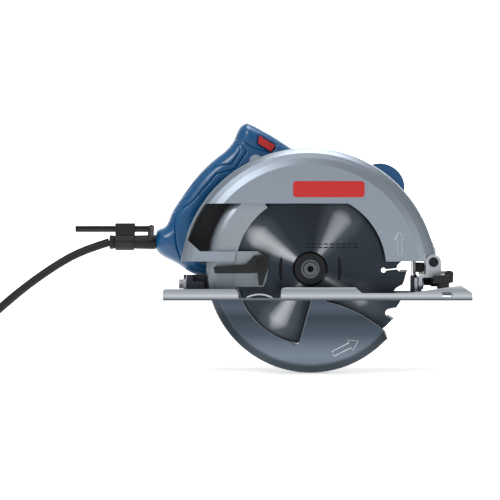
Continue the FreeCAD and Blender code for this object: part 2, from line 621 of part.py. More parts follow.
def cooling_fan():
    hub = ring_y(0, MOTOR_Z, FAN_Y0, FAN_Y1, ROTOR_SHAFT_R, 9.0)
    disc = ring_y(0, MOTOR_Z, FAN_Y0, FAN_Y0 + 2.0, 8.0, FAN_R)
    vane = box(8.0, FAN_R - 0.5, FAN_Y0 + 1.5, FAN_Y1 - 1.0, -0.9, 0.9)
    return fuse([hub, disc] + [about_motor(vane, 360.0 / FAN_VANES * n) for n in range(FAN_VANES)])


def brush_box(x0, x1, margin):
    """A box round a brush's own section, larger by margin on each side."""
    half_y, half_z = BRUSH_HALF_Y + margin, BRUSH_HALF_Z + margin
    return box(x0, x1, BRUSH_Y - half_y, BRUSH_Y + half_y, MOTOR_Z - half_z, MOTOR_Z + half_z)


def brush_holders():
    return both_sides(brush_box(15.0, 33.0, 0.1 + HOLDER_WALL).cut(brush_box(14.0, 34.0, 0.1)))


def carbon_brushes():
    return both_sides(brush_box(COMMUTATOR_R + 0.3, 27.0, 0.0))


def brush_caps():
    cap = cyl_x(BRUSH_Y, MOTOR_Z, 34.0, MOTOR_R + 1.2, BRUSH_CAP_R)
    slot = box(MOTOR_R - 0.4, MOTOR_R + 2, BRUSH_Y - 6, BRUSH_Y + 6, MOTOR_Z - 0.8, MOTOR_Z + 0.8)
    return both_sides(cap.cut(slot))


# ---- handle ----
HANDLE_OUTLINE = [      # from the cord's nose over the grip to the motor and back below
    (-149.3, 62.0), (-147.0, 67.0), (-140.0, 69.0), (-136.2, 75.0), (-133.6, 83.0), (-128.1, 92.2),
    (-109.6, 118.3), (-94.7, 133.2), (-79.9, 144.4), (-73.0, 153.0), (-70.0, 161.5), (-66.0, 168.5),
    (-59.2, 171.3), (-53.0, 168.6), (-36.4, 159.8), (-14.7, 145.8), (6.0, 131.0), (24.0, 112.0),
    (34.0, 92.0), (34.0, 52.0), (14.0, 33.0), (-30.0, 26.0), (-60.0, 20.5), (-92.0, 19.0),
    (-115.4, 24.4), (-127.0, 33.4), (-142.0, 40.6), (-149.3, 47.0)]
FINGER_OPENING = [
    (-104.0, 66.0), (-105.0, 76.0), (-99.0, 87.0), (-88.0, 100.5), (-76.0, 110.5), (-62.0, 117.0),
    (-51.0, 116.0), (-46.0, 106.0), (-47.0, 90.0), (-52.0, 72.0), (-62.0, 61.0), (-82.0, 56.0),
    (-97.0, 58.0)]
TRIGGER_PIVOT = (-58.0, 124.5)
SWITCH_CORNERS = [(-84.0, 124.6), (-70.0, 135.5), (-61.0, 131.2), (-76.5, 120.8)]


def tangent_arcs(corners, closed, share):
    """Edges of straight runs joined by arcs that each take a share of the shorter run, and the radii."""
    count = len(corners)
    spans, radii = [], []
    for i in range(count) if closed else range(1, count - 1):
        before, corner, after = corners[i - 1], corners[i], corners[(i + 1) % count]
        run_in, run_out = corner - before, after - corner
        turn = run_in.getAngle(run_out)
        reach = share * min(run_in.Length, run_out.Length)
        radii.append(reach / math.tan(turn / 2))
        start = corner - run_in.normalize() * reach
        end = corner + run_out.normalize() * reach
        centre = corner + (run_out - run_in).normalize() * math.hypot(radii[-1], reach)
        middle = centre + (corner - centre).normalize() * radii[-1]
        spans.append((start, middle, end))
    edges = []
    place = spans[-1][2] if closed else corners[0]
    for start, middle, end in spans:
        edges += [Part.LineSegment(place, start).toShape(), Part.Arc(start, middle, end).toShape()]
        place = end
    if not closed:
        edges.append(Part.LineSegment(place, corners[-1]).toShape())
    return edges, radii


def rounded_face(points, y, grow=0.0):
    """Face inside a smooth closed outline in the X-Z plane, moved outward by grow."""
    edges, _ = tangent_arcs([Vector(x, y, z) for x, z in points], True, 0.48)
    face = Part.Face(Part.Wire(edges))
    return face.makeOffset2D(grow, 0, False, False, False) if grow else face


def carried(face, length):
    return face.extrude(Vector(0, length, 0))


def handle_block(y0, outer_y):
    """One shell's outer body, with its outer edges rounded where it is gripped."""
    block = carried(rounded_face(HANDLE_OUTLINE, y0), HANDLE_HALF)
    block = block.cut(carried(rounded_face(FINGER_OPENING, y0), HANDLE_HALF))
    rims = [e for e in block.Edges
            if abs(e.BoundBox.YMin - outer_y) < 1e-6 and abs(e.BoundBox.YMax - outer_y) < 1e-6]
    rounded = block.makeFillet(HANDLE_EDGE, rims)
    assert rounded.isValid()
    return rounded


def handle_room(y0):
    """The space inside one shell, from its joint plane to its outer wall."""
    depth = HANDLE_HALF - HANDLE_WALL
    room = carried(rounded_face(HANDLE_OUTLINE, y0, -HANDLE_WALL), depth)
    return room.cut(carried(rounded_face(FINGER_OPENING, y0, HANDLE_WALL), depth))


def trigger_mouth():
    corners = [(-97.0, 112.0), (-54.0, 131.0), (-51.0, 111.0), (-84.0, 93.0)]
    return prism_xz(corners, HANDLE_Y - TRIGGER_HALF - 0.4, HANDLE_Y + TRIGGER_HALF + 0.4)


def handle_shell(near):
    y0 = HANDLE_Y - HANDLE_HALF if near else HANDLE_Y
    y1 = y0 + HANDLE_HALF
    outer_y = y0 if near else y1
    block = handle_block(y0, outer_y)
    room = handle_room(y0 + HANDLE_WALL if near else y0)
    bosses = [cyl_y(x, z, y0, y1, HANDLE_BOSS_R) for x, z in handle_screw_places()]
    away = MECHANISM_HALF if near else -MECHANISM_HALF
    seat_y0, seat_y1 = sorted((outer_y, HANDLE_Y - away))
    bosses.append(cyl_y(*TRIGGER_PIVOT, seat_y0, seat_y1, 4.0))
    bosses.append(prism_xz(shrunk(SWITCH_CORNERS, 3.0), seat_y0, seat_y1))
    shell = block.cut(room).fuse(block.common(fuse(bosses)))
    shell = shell.cut(cyl_y(0, MOTOR_Z, CASE_Y1 - 4.0, MOTOR_Y1, MOTOR_R + 0.1))
    shell = shell.cut(pear(25.7, 22.2, 0, CASE_Y1)).cut(cyl_y(0, MOTOR_Z, 0, CASE_Y1 + 1, 36.0))
    shell = shell.cut(trigger_mouth()).cut(lock_button_hole())
    shell = shell.cut(cyl_y(*TRIGGER_PIVOT, HANDLE_Y - PIN_HALF, HANDLE_Y + PIN_HALF, PIN_R))
    shell = shell.cut(cylinder((SLEEVE_X1 - 1, CORD_Y, CORD_Z), (SLEEVE_ROOT_X, CORD_Y, CORD_Z),
                               SLEEVE_ROOT_R + 0.1))
    for x, z in handle_screw_places():
        shell = shell.cut(cyl_y(x, z, HANDLE_Y - 12, HANDLE_Y + 30, SCREW_HOLE_R))
        shell = shell.cut(cyl_y(x, z, HANDLE_Y + HANDLE_HALF - HEAD_SINK, HANDLE_Y + 30, 4.3))
    return shell.removeSplitter()


def handle_screw_places():
    return [(-118.0, 37.0), (-120.0, 83.0), (-82.0, 36.0), (-20.0, 132.0), (-61.0, 158.5)]


def handle_screws():
    head_y = HANDLE_Y + HANDLE_HALF - HEAD_SINK
    return [screw_y(x, z, head_y, HANDLE_Y - 11.5) for x, z in handle_screw_places()]


PIN_HALF = 13.0
PIN_R = 1.6
SLEEVE_ROOT_X = -134.0
SLEEVE_ROOT_R = 5.6
LOCK_CORNERS = [(-48.3, 157.4), (-32.0, 147.4), (-36.4, 141.4), (-50.0, 150.0)]


def shrunk(points, amount):
    """A convex outline moved in by about the amount, towards its middle."""
    mx = sum(x for x, _ in points) / len(points)
    mz = sum(z for _, z in points) / len(points)
    moved = []
    for x, z in points:
        length = math.hypot(x - mx, z - mz)
        moved.append((x - (x - mx) / length * amount, z - (z - mz) / length * amount))
    return moved


def lock_button_hole():
    return prism_xz(LOCK_CORNERS, HANDLE_Y - HANDLE_HALF - 1, HANDLE_Y - 8.0)


def lock_button():
    """Cap in the near shell's hole, a rim behind the wall that keeps it in, and a stem."""
    cap = prism_xz(shrunk(LOCK_CORNERS, 0.7), HANDLE_Y - HANDLE_HALF - 1.2, HANDLE_Y - 12.5)
    wall_y = HANDLE_Y - HANDLE_HALF + HANDLE_WALL
    rim = prism_xz(shrunk(LOCK_CORNERS, -1.4), wall_y + 0.3, HANDLE_Y - 12.5)
    stem = cyl_y(-42.0, 149.5, HANDLE_Y - 12.5, HANDLE_Y - 1.0, 2.4)
    return fuse([cap, rim, stem])


def trigger():
    points = [(-57.0, 128.4), (-55.0, 124.0), (-56.5, 112.5), (-62.0, 112.0), (-74.0, 107.6), (-84.5, 100.0),
              (-87.5, 102.5), (-86.0, 108.0), (-77.0, 117.0), (-66.0, 124.5)]
    body = prism_xz(points, HANDLE_Y - TRIGGER_HALF, HANDLE_Y + TRIGGER_HALF)
    return body.cut(cyl_y(*TRIGGER_PIVOT, HANDLE_Y - 9, HANDLE_Y + 9, PIN_R + FIT))


def trigger_pin():
    return cyl_y(*TRIGGER_PIVOT, HANDLE_Y - PIN_HALF, HANDLE_Y + PIN_HALF, PIN_R)


def switch_module():
    return prism_xz(SWITCH_CORNERS, HANDLE_Y - MECHANISM_HALF, HANDLE_Y + MECHANISM_HALF)


def cord_clamp():
    """Block and strap that grip the cord inside the handle."""
    half = HANDLE_HALF - HANDLE_WALL
    block = box(-131.0, -119.0, CORD_Y - half, CORD_Y + half, CORD_Z - 8.8, CORD_Z - CORD_R)
    strap = box(-129.0, -121.0, CORD_Y - 9.0, CORD_Y + 9.0, CORD_Z + CORD_R, CORD_Z + 6.6)
    screws = [cyl_z(-125.0, CORD_Y + side * 6.5, CORD_Z - 8.0, CORD_Z + 8.4, 1.5) for side in (-1, 1)]
    return fuse([block, strap] + screws)


def cord_lead():
    """The cord's last stretch, held in the sleeve and the clamp."""
    return cyl_x(CORD_Y, CORD_Z, SLEEVE_X0 + 1.6, -116.0, CORD_R)


def cord_sleeve():
    """Flexible protector round the cord: a tapered tube with a bead at its mouth and a root in the nose."""
    profile = [(4.05, SLEEVE_X0), (6.6, SLEEVE_X0), (6.9, SLEEVE_X0 + 1.5), (6.6, SLEEVE_X0 + 4.0),
               (6.1, SLEEVE_X0 + 5.5), (7.1, SLEEVE_X1), (SLEEVE_ROOT_R, SLEEVE_X1), (SLEEVE_ROOT_R,
                                                                                      SLEEVE_ROOT_X),
               (4.05, SLEEVE_ROOT_X)]
    corners = [Vector(x, CORD_Y + r, CORD_Z) for r, x in profile]
    face = Part.Face(Part.makePolygon(corners + corners[:1]))
    return face.revolve(Vector(0, CORD_Y, CORD_Z), Vector(1, 0, 0), 360)


KEY_Z = 67.4
KEY_HALF = 3.0
KEY_CORNER = 2 * KEY_HALF / math.sqrt(3)
KEY_BEND_X = -156.2     # where the long leg ends and the short leg turns down
KEY_SHORT_LEG = 17.0
KEY_TURN = 59.0         # the short leg's turn out of the vertical


def key_clip():
    """Clip on the sleeve with a groove, open above, that the hex key lies in."""
    x0, x1 = -188.0, -169.0
    half_width = KEY_CORNER + 2.0
    saddle = cyl_x(CORD_Y, CORD_Z, x0, x1 - 1.0, 8.2)
    tower = box(x0, x1, CORD_Y - half_width, CORD_Y + half_width, CORD_Z + 6.9, KEY_Z + 5.6)
    clip = fuse([saddle, tower]).cut(cyl_x(CORD_Y, CORD_Z, x0 - 1, x1 + 1, 6.95))
    room = KEY_CORNER + 0.35
    return clip.cut(box(x0 - 1, x1 + 1, CORD_Y - room, CORD_Y + room, KEY_Z - KEY_HALF - 0.3, KEY_Z + 7))


def hex_key():
    """Bent hex bar: a long leg along X through the clip, a short leg turned down beside the sleeve."""
    long_leg = prism_yz([at(CORD_Y, KEY_Z, KEY_CORNER, 60 * i) for i in range(6)], -227.0, KEY_BEND_X)
    short_leg = prism_xy([at(KEY_BEND_X + KEY_HALF, CORD_Y, KEY_CORNER, 30 + 60 * i) for i in range(6)],
                         KEY_Z - KEY_SHORT_LEG, KEY_Z + KEY_HALF)
    short_leg.rotate(Vector(0, CORD_Y, KEY_Z), Vector(1, 0, 0), -KEY_TURN)
    return fuse([long_leg, short_leg])


def leaning_oval(inset):
    """Points of the front grip's oval section, leaning forward, moved in by inset."""
    points = []
    for degrees in range(0, 360, 30):
        along = (GRIP_LONG - inset) * math.cos(math.radians(degrees))
        across = (GRIP_WIDE - inset) * math.sin(math.radians(degrees))
        turn = math.degrees(math.atan2(across, along)) - GRIP_LEAN
        points.append(at(GRIP_X, GRIP_Z, math.hypot(along, across), turn))
    return points


def front_handle():
    """Second grip: a hollow oval bar in front of the motor, on a foot at each end, with a lid in its end."""
    start_y, end_y = GUARD_BACK_Y + 1.5, GRIP_END_Y
    bar = smooth_xz(leaning_oval(0), start_y, end_y)
    foot = prism_xz([(26.0, 86.0), (62.0, 120.0), (74.0, 98.0), (40.0, 62.0)], 98.0, end_y)
    root = prism_xz([(30.0, 84.0), (60.0, 118.0), (74.0, 98.0), (42.0, 66.0)], start_y, 40.0)
    grip = fuse([bar, foot, root]).cut(cyl_y(0, MOTOR_Z, 20, 130, MOTOR_R + 0.05))
    grip = grip.cut(smooth_xz(leaning_oval(HANDLE_WALL), start_y + 18, end_y + 1))
    lid = smooth_xz(leaning_oval(HANDLE_WALL + 0.1), end_y - 4, end_y)
    return [grip, lid]


# ---- lower guard's spring and stop ----
def guard_spring():
    wire = 0.75
    turns = [Part.makeTorus(29.4, wire, Vector(0, 14.9 + 1.2 * n, SPINDLE_Z),
                            Vector(0, 1, 0)) for n in range(2)]
    legs = [cylinder((-29.4, 15.0, SPINDLE_Z), (-29.4, 15.0, SPINDLE_Z + 22), wire),
            cylinder((29.4, 16.1, SPINDLE_Z), (29.4, 16.1, SPINDLE_Z + 20), wire)]
    return fuse(turns + legs)


def guard_stop():
    return cyl_y(97.5, 74.0, 12.5, GUARD_BACK_Y - GUARD_WALL, 4.0)


# ---- tilt brackets ----
def stud_place():
    return at(BEVEL_Y, BEVEL_Z, STUD_R, STUD_ANGLE)


def front_bracket():
    """Bent steel sheet: a leg on the bevel axis, a shelf bent forward from it, and two ears on the shelf."""
    leg_low = [(BEVEL_Y - 15.2, BEVEL_Z - 1.5), (BEVEL_Y - 8.0, BEVEL_Z - 9.0), (40.0, BEVEL_Z - 9.0),
               (40.0, 25.0),
               (28.0, 25.0), (14.0, 21.0), (BEVEL_Y - 15.2, 21.0)]
    leg = prism_yz(leg_low, LEG_X0, LEG_X1)
    bend = cyl_y(106.6, 19.4, -EAR_OUT, EAR_OUT, 4.6).cut(cyl_y(106.6, 19.4, -15, 15, 1.6))
    bend = bend.common(box(101.0, 106.6, -14, 14, 19.4, 26.0))
    shelf = box(106.6, 127.0, -EAR_OUT, EAR_OUT, SHELF_Z0, SHELF_Z1)
    upright = box(LEG_X0, LEG_X1, -EAR_OUT, EAR_OUT, 15.0, 19.4)
    ears = []
    for y0, y1 in ((-EAR_OUT, -EAR_IN), (EAR_IN, EAR_OUT)):
        ears.append(cyl_y(PIVOT_X, PIVOT_Z, y0, y1, EAR_R))
        ears.append(box(PIVOT_X - EAR_R, PIVOT_X + EAR_R, y0, y1, SHELF_Z1 - 1.5, PIVOT_Z))
    bracket = fuse([leg.cut(box(101, 106, -14, 14, 19.4, 26)), bend, shelf, upright] + ears)
    bracket = bracket.cut(cyl_y(PIVOT_X, PIVOT_Z, -20, 20, 4.0))
    bracket = bracket.cut(cyl_x(BEVEL_Y, BEVEL_Z, 90, 110, 3.0))
    return bracket.cut(cyl_x(*stud_place(), 90, 110, 2.6 + FIT))


def depth_pivot_pin():
    pin = cyl_y(PIVOT_X, PIVOT_Z, -EAR_OUT, EAR_OUT + 2.0, PIVOT_PIN_R)
    head = cyl_y(PIVOT_X, PIVOT_Z, -EAR_OUT - 1.7, -EAR_OUT, 4.6)
    head = head.cut(hex_head(PIVOT_X, PIVOT_Z, -EAR_OUT - 2.5, -EAR_OUT - 0.7, 5.0))
    nut = hex_head(PIVOT_X, PIVOT_Z, EAR_OUT, EAR_OUT + 4.0, 11.0)
    nut = nut.cut(cyl_y(PIVOT_X, PIVOT_Z, EAR_OUT - 0.5, EAR_OUT + 4.5, PIVOT_PIN_R))
    return [fuse([pin, head]), nut]


def bevel_pivot_front():
    shaft = cyl_x(BEVEL_Y, BEVEL_Z, 97.4, 105.0, 3.0)
    heads = [cyl_x(BEVEL_Y, BEVEL_Z, 105.0, 107.4, 5.2), cyl_x(BEVEL_Y, BEVEL_Z, 95.6, 97.4, 5.2)]
    return fuse([shaft] + heads)


def arm_sector(radius0, radius1, from_angle, to_angle, y0, y1):
    """A strip along an arc about the depth pivot."""
    profile = [(radius0, y0), (radius1, y0), (radius1, y1), (radius0, y1)]
    return turned(profile, PIVOT_X, PIVOT_Z, to_angle - from_angle, from_angle)


def depth_arm():
    """Rear tilt bracket with the curved depth arm, which the saw slides along as its depth is set."""
    block = box(-117.0, -100.5, -6.0, 26.0, 8.0, 23.4)
    strip = prism_xz([(-117.0, 8.0), (-62.0, 8.0), (-40.6, 24.0), (-41.0, 33.0), (-57.0, 33.0),
                      (-72.0, 23.4),
                      (-117.0, 23.4)], ARM_Y0, ARM_Y1)
    arc = arm_sector(ARM_R - ARM_HALF, ARM_R + ARM_HALF, 141.5, 181.0, ARM_Y0, ARM_Y1)
    slot = arm_sector(ARM_R - 3.2, ARM_R + 3.2, 144.2, 176.2, ARM_Y0 - 1, ARM_Y1 + 1)
    ends = [cyl_y(*at(PIVOT_X, PIVOT_Z, ARM_R, a), ARM_Y0 - 1, ARM_Y1 + 1, 3.2) for a in (143.8, 176.2)]
    arm = fuse([block, strip, arc]).cut(slot)
    for end in ends:
        arm = arm.cut(end)
    arm = arm.cut(box(-111.0, -99.0, -7.0, 20.0, 17.0, 24.0))
    return arm.cut(cyl_x(BEVEL_Y, BEVEL_Z, -118, -99, 3.0))


def bevel_pivot_rear():
    shaft = cyl_x(BEVEL_Y, BEVEL_Z, -120.2, -101.5, 2.97)
    head = prism_yz([at(BEVEL_Y, BEVEL_Z, 5.2, 60 * i) for i in range(6)], -124.4, -120.2)
    return fuse([shaft, head])


def depth_bolt():
    x, z = depth_bolt_place()
    shaft = cyl_y(x, z, GUARD_BACK_Y - 5.5, 35.0, DEPTH_BOLT_R)
    return fuse([shaft, cyl_y(x, z, GUARD_BACK_Y - 5.5, GUARD_BACK_Y - GUARD_WALL, 5.5)])


def depth_lever():
    x, z = depth_bolt_place()
    hub = cyl_y(x, z, ARM_Y1 + 0.4, 34.5, 8.0)
    arm = prism_xz([(x + 2, z + 6.5), (x - 3, z + 6.5), (x - 44, z - 10), (x - 47, z - 14), (x - 45, z - 19),
                    (x - 38, z - 19), (x - 2, z - 7)], 28.4, 33.2)
    return fuse([hub, arm]).cut(cyl_y(x, z, 20, 40, DEPTH_BOLT_R + FIT))


def bevel_knob():
    y, z = stud_place()
    stud = cyl_x(y, z, 98.0, 110.0, 2.6)
    collar = cyl_x(y, z, 105.4, 118.0, 6.5)
    wings = [prism_yz([(y - 5, z - 3.2), (y - 14, z - 4.6), (y - 15.5, z), (y - 14, z + 4.6), (y - 5, z + 3.2)],
                      116.0, 131.0),
             prism_yz([(y + 5, z - 3.2), (y + 14, z - 4.6), (y + 15.5, z), (y + 14, z + 4.6),
                       (y + 5, z + 3.2)],
                      116.0, 131.0)]
    core = cyl_x(y, z, 117.0, 131.5, 7.6)
    return fuse([stud, collar, core] + wings)


# ---- base plate ----
def base_plate():
    sheet = box(PLATE_X0, PLATE_X1, PLATE_Y0, PLATE_Y1, 0, SHEET)
    flange_y = PLATE_Y0 + 2.0
    rear_edge = [(PLATE_X0, 0), (PLATE_X0, 9.0), (PLATE_X0 + 1.5, 10.6), (-71.5, 10.6), (-69.3, 9.6),
                 (-68.0, 7.4),
                 (-67.5, 1.0), (-67.5, 0)]
    middle_edge = [(-28.5, 0), (-28.5, 1.5), (-28.0, 9.8), (-26.5, 11.6), (-23.5, 12.1), (41.0, 12.1),
                   (47.0, 6.8),
                   (87.0, 6.8), (95.0, 7.6), (139.0, 14.1), (149.4, 7.0), (149.6, 4.0), (149.6, 0)]
    flanges = [prism_xz(rear_edge, PLATE_Y0, flange_y), prism_xz(middle_edge, PLATE_Y0, flange_y)]
    far_edge = box(PLATE_X0 + 6, PLATE_X1 - 6, PLATE_Y1 - 2, PLATE_Y1, 0, 6.5)
    front_lip = box(PLATE_X1 - 2, PLATE_X1, PLATE_Y0, PLATE_Y1, 0, 5.0)
    rear_lip = box(PLATE_X0, PLATE_X0 + 2, PLATE_Y0, PLATE_Y1, 0, 5.0)
    ribs = [box(-92, 82, y, y + 5, SHEET, SHEET + 1.4) for y in (80.0, 92.0)]
    lug = fuse([cyl_x(BEVEL_Y, BEVEL_Z, -120.0, -117.5, 9.0),
                box(-120.0, -117.5, BEVEL_Y - 9, BEVEL_Y + 9, 1.0, BEVEL_Z)])
    arch = cyl_y(-48.4, -18.8, PLATE_Y0 + 0.5, PLATE_Y0 + 3.5, 25.2)
    arch = arch.cut(cyl_y(-48.4, -18.8, -50, -30, 23.8)).common(box(-60, -36, -50, -30, 1.5, 8))
    plate = fuse([sheet] + flanges + [far_edge, front_lip, rear_lip, lug, arch] + ribs)
    plate = plate.cut(box(SLOT_X0, SLOT_X1, SLOT_Y0, SLOT_Y1, -1, 8))
    plate = plate.cut(box(-63.0, -33.0, -31.5, SLOT_Y0 + 1, -1, 8))
    plate = plate.cut(cyl_x(BEVEL_Y, BEVEL_Z, -122, -115, 3.0 + 0.04))
    plate = plate.cut(box(FENCE_SLOT_X0, FENCE_SLOT_X1, PLATE_Y0 - 1, PLATE_Y0 + 4, FENCE_SLOT_Z0,
                          FENCE_SLOT_Z1))
    # cut-line notches of the front edge, for the upright and the tilted blade
    for y in (0.0, 14.0):
        notch = prism_xy([(PLATE_X1 + 1, y - 3), (PLATE_X1 - 7, y), (PLATE_X1 + 1, y + 3)], -1, 8)
        plate = plate.cut(notch)
    for x in (112.0, 120.0):
        plate = plate.cut(cyl_z(x, 48.0, -1, 4, 1.5))
    return plate


def front_quadrant():
    """Plate with the curved bevel slot, standing on the base plate behind the front bracket."""
    y, z = BEVEL_Y, BEVEL_Z
    x0, x1 = QUADRANT_X0, QUADRANT_X1
    crest = at(y, z, 24.0, 60)
    rim = [at(y, z, 39.0, a) for a in (-14, 0, 15, 30, 45, 60)]
    plate = prism_yz([(y - 9, SHEET), (y + 37.8, SHEET)] + rim + [crest, (y + 9, z + 6), (y - 9, z + 6)],
                     x0, x1)
    plate = plate.fuse(cyl_x(y, z, x0, x1, 9.0))
    foot = box(x1 - 6.2, x1, y - 9, y + 37.8, SHEET, SHEET + 2.4)
    plate = fuse([plate, foot])
    steps = [STUD_ANGLE + BEVEL_RANGE * i / 12 for i in range(13)]
    outer = [at(y, z, STUD_R + BEVEL_SLOT_R, a) for a in steps]
    inner = [at(y, z, STUD_R - BEVEL_SLOT_R, a) for a in reversed(steps)]
    plate = plate.cut(prism_yz(outer + inner, x0 - 1, x1 + 1))
    for a in (steps[0], steps[-1]):
        plate = plate.cut(cyl_x(*at(y, z, STUD_R, a), x0 - 1, x1 + 1, BEVEL_SLOT_R))
    return plate.cut(cyl_x(y, z, x0 - 1, x1 + 1, 3.0 + 0.04))


def fence_bridge():
    """Strap over the parallel guide's bar, with the thread of its clamp screw."""
    x0, x1 = FENCE_SLOT_X0 - 3.4, FENCE_SLOT_X1 + 1.4
    y0, y1 = PLATE_Y0 + 3.0, -27.0
    strap = box(x0, x1, y0, y1, 8.6, 10.6)
    legs = [box(x0, x0 + 2, y0, y1, SHEET, 9.0), box(x1 - 1.3, x1, y0, y1, SHEET, 9.0)]
    return fuse([strap] + legs).cut(cyl_z(FENCE_SCREW_X, FENCE_SCREW_Y, 0, 12, 2.5 + FIT))


def fence_screw():
    """Thumb screw with a block head and one raised wing."""
    x, y = FENCE_SCREW_X, FENCE_SCREW_Y
    stud = cyl_z(x, y, 8.0, 12.0, 2.5)
    hub = cyl_z(x, y, 10.9, 16.0, 5.8)
    head = box(x - 9.0, x + 6.6, y - 5.0, y + 5.0, 15.8, 23.6)
    head = head.makeFillet(1.2, head.Edges)
    wing = prism_xz([(x + 5.0, 16.6), (x + 9.0, 16.4), (x + 9.6, 25.4), (x + 8.0, 27.6), (x + 3.0, 27.6),
                     (x + 1.6, 25.6), (x + 1.6, 23.0), (x + 5.0, 22.0)], y - 2.4, y + 2.4)
    return fuse([stud, hub, head, wing])


# ---- cord and plug ----
def cord_tube():
    """The cord's uncoiled stretch: straight runs joined by tangent arcs, which it prints the radii of."""
    points = [Vector(x, CORD_Y, z) for x, z in CORD_ROUTE]
    edges, radii = tangent_arcs(points, False, 0.45)
    path = Part.Wire(edges)
    section = Part.Wire([Part.makeCircle(CORD_R, points[0], points[1] - points[0])])
    tube = path.makePipe(Part.Face(section))
    print("cord radii", [round(r) for r in radii], "length", round(path.Length),
          "volume ratio", round(tube.Volume / (math.pi * CORD_R ** 2 * path.Length), 4))
    return tube.cut(coil_outline())


def coil_outline():
    return cyl_z(COIL_X, COIL_Y, FLOOR_Z, FLOOR_Z + 2 * COIL_HALF, COIL_R + COIL_HALF)


def cord_coil():
    hole = cyl_z(COIL_X, COIL_Y, FLOOR_Z - 1, FLOOR_Z + 2 * COIL_HALF + 1, COIL_R - COIL_HALF)
    return coil_outline().cut(hole)


PLUG_X = COIL_X - COIL_R
PLUG_Z = FLOOR_Z + 2 * COIL_HALF + PLUG_HIGH / 2


def mains_plug():
    """Two-pin plug lying on the coil, with its pins pointing towards +Y."""
    face_y = COIL_Y + 26.0
    body = fuse([box(PLUG_X - PLUG_WIDE / 2, PLUG_X + PLUG_WIDE / 2, face_y - PLUG_LONG, face_y,
                     PLUG_Z - PLUG_HIGH / 2, PLUG_Z + PLUG_HIGH / 2),
                 cyl_y(PLUG_X, PLUG_Z, face_y - PLUG_LONG - 22.0, face_y - PLUG_LONG, 8.4)])
    pins = [cyl_y(PLUG_X + side * PLUG_PIN_SPREAD, PLUG_Z, face_y - 1, face_y + PLUG_PIN_LONG, PLUG_PIN_R)
            for side in (-1, 1)]
    return fuse([body] + pins)


def spindle_lock():
    pin = cyl_x(LOCK_Y, SPINDLE_Z, 9.8, 33.0, 3.0)
    return fuse([pin, cyl_x(LOCK_Y, SPINDLE_Z, 32.0, 36.5, 6.5)])


def build():
    os.makedirs("parts", exist_ok=True)
    parts = [
        front_bracket, depth_pivot_pin, bevel_pivot_front, depth_arm, bevel_pivot_rear, bevel_knob,
        base_plate, front_quadrant, fence_bridge, fence_screw,
        upper_guard, gear_case, case_screws, spindle_bearings, armature_bearings, guard_spring, guard_stop,
        motor_housing, end_cap, housing_screws, stator_core, field_coils, brush_holders, carbon_brushes,
        brush_caps, handle_screws, trigger, trigger_pin, switch_module, lock_button, cord_clamp, cord_lead,
        cord_sleeve, key_clip, hex_key, front_handle, depth_bolt, depth_lever, spindle_lock,
        output_spindle, driven_gear, inner_flange, saw_blade, carbide_tips, outer_flange, blade_bolt,
        armature_shaft, pinion, armature_core, armature_windings, commutator, cooling_fan,
        lower_guard, guard_lever, lever_screw, cord_tube, cord_coil, mains_plug,
    ]
    for make in parts:
        save(make.__name__, make())
    save("handle_near_shell", handle_shell(near=True))
    save("handle_far_shell", handle_shell(near=False))


build()
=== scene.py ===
"""Circular saw: the looks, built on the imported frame.

Dimensions are in the saw's own millimetres: X forward from the spindle, Z up from the sole, Y from the
blade towards the motor. place() turns them into the frame's metres, and MM scales a length.
"""

import json
import math

import bpy
import numpy as np
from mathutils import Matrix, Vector
from mathutils.geometry import delaunay_2d_cdt


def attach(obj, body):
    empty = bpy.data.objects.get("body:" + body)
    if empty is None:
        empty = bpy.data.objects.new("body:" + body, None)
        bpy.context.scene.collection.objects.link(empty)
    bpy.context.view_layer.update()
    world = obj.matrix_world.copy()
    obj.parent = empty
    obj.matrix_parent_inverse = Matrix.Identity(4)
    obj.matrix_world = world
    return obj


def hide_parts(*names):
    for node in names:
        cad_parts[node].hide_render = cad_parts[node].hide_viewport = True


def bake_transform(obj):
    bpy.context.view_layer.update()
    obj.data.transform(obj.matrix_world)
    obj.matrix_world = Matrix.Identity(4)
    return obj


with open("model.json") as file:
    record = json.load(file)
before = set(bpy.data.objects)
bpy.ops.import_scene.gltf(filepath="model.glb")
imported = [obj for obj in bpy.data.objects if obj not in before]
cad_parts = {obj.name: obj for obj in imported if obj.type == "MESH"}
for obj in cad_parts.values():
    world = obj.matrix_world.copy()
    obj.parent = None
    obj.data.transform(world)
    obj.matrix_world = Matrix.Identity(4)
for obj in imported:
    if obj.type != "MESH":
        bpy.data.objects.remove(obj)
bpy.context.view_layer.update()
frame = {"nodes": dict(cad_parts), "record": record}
MM = 0.001

# ---- driving dimensions, in the saw's millimetres ----
SPINDLE_X, BLADE_Y = -6.0, -69.0        # the saw's own origin in the frame
SPINDLE_Z = 29.0
GUARD_X, GUARD_Z = -2.0, 22.4
GUARD_FACE_Y = -20.0
GUARD_BOTTOM_Z = 36.1
WINDOW_TOP_Z = 90.6
LOWER_R, LOWER_INNER_R = 98.0, 70.5
LOWER_FACE_Y = -14.0
SHADE_SHEET_R, SHADE_SHEET_BACK_Y = 117.6, 17.8     # dark sheet of painted shade inside the upper guard
BLADE_HALF = 0.8
SOCKET_Y = -7.5                         # bottom of the blade bolt's hex socket
MOTOR_Z = 55.0
MOTOR_R = 44.0
MOTOR_Y1 = 148.0
GRIP_X, GRIP_Z = 69.0, 109.0            # middle of the front grip's oval section
GRIP_LONG, GRIP_WIDE, GRIP_LEAN = 22.5, 20.5, 28.0
HANDLE_Y, HANDLE_HALF = 56.0, 18.0
FLOOR_Z = -69.0
CORD_R = 4.0
CORD_Y, CORD_Z = HANDLE_Y, 54.6
SLEEVE_X0 = -193.7
COIL_X, COIL_R = -438.0, 44.0
COIL_Y = CORD_Y + COIL_R
COIL_MID_Z = FLOOR_Z + 12.0
COIL_LIFT = 9.0                         # how far the last turn rises before the cord leaves the coil
PLUG_X = COIL_X - COIL_R
PLUG_Z = FLOOR_Z + 37.0
PLUG_FACE_Y = COIL_Y + 26.0
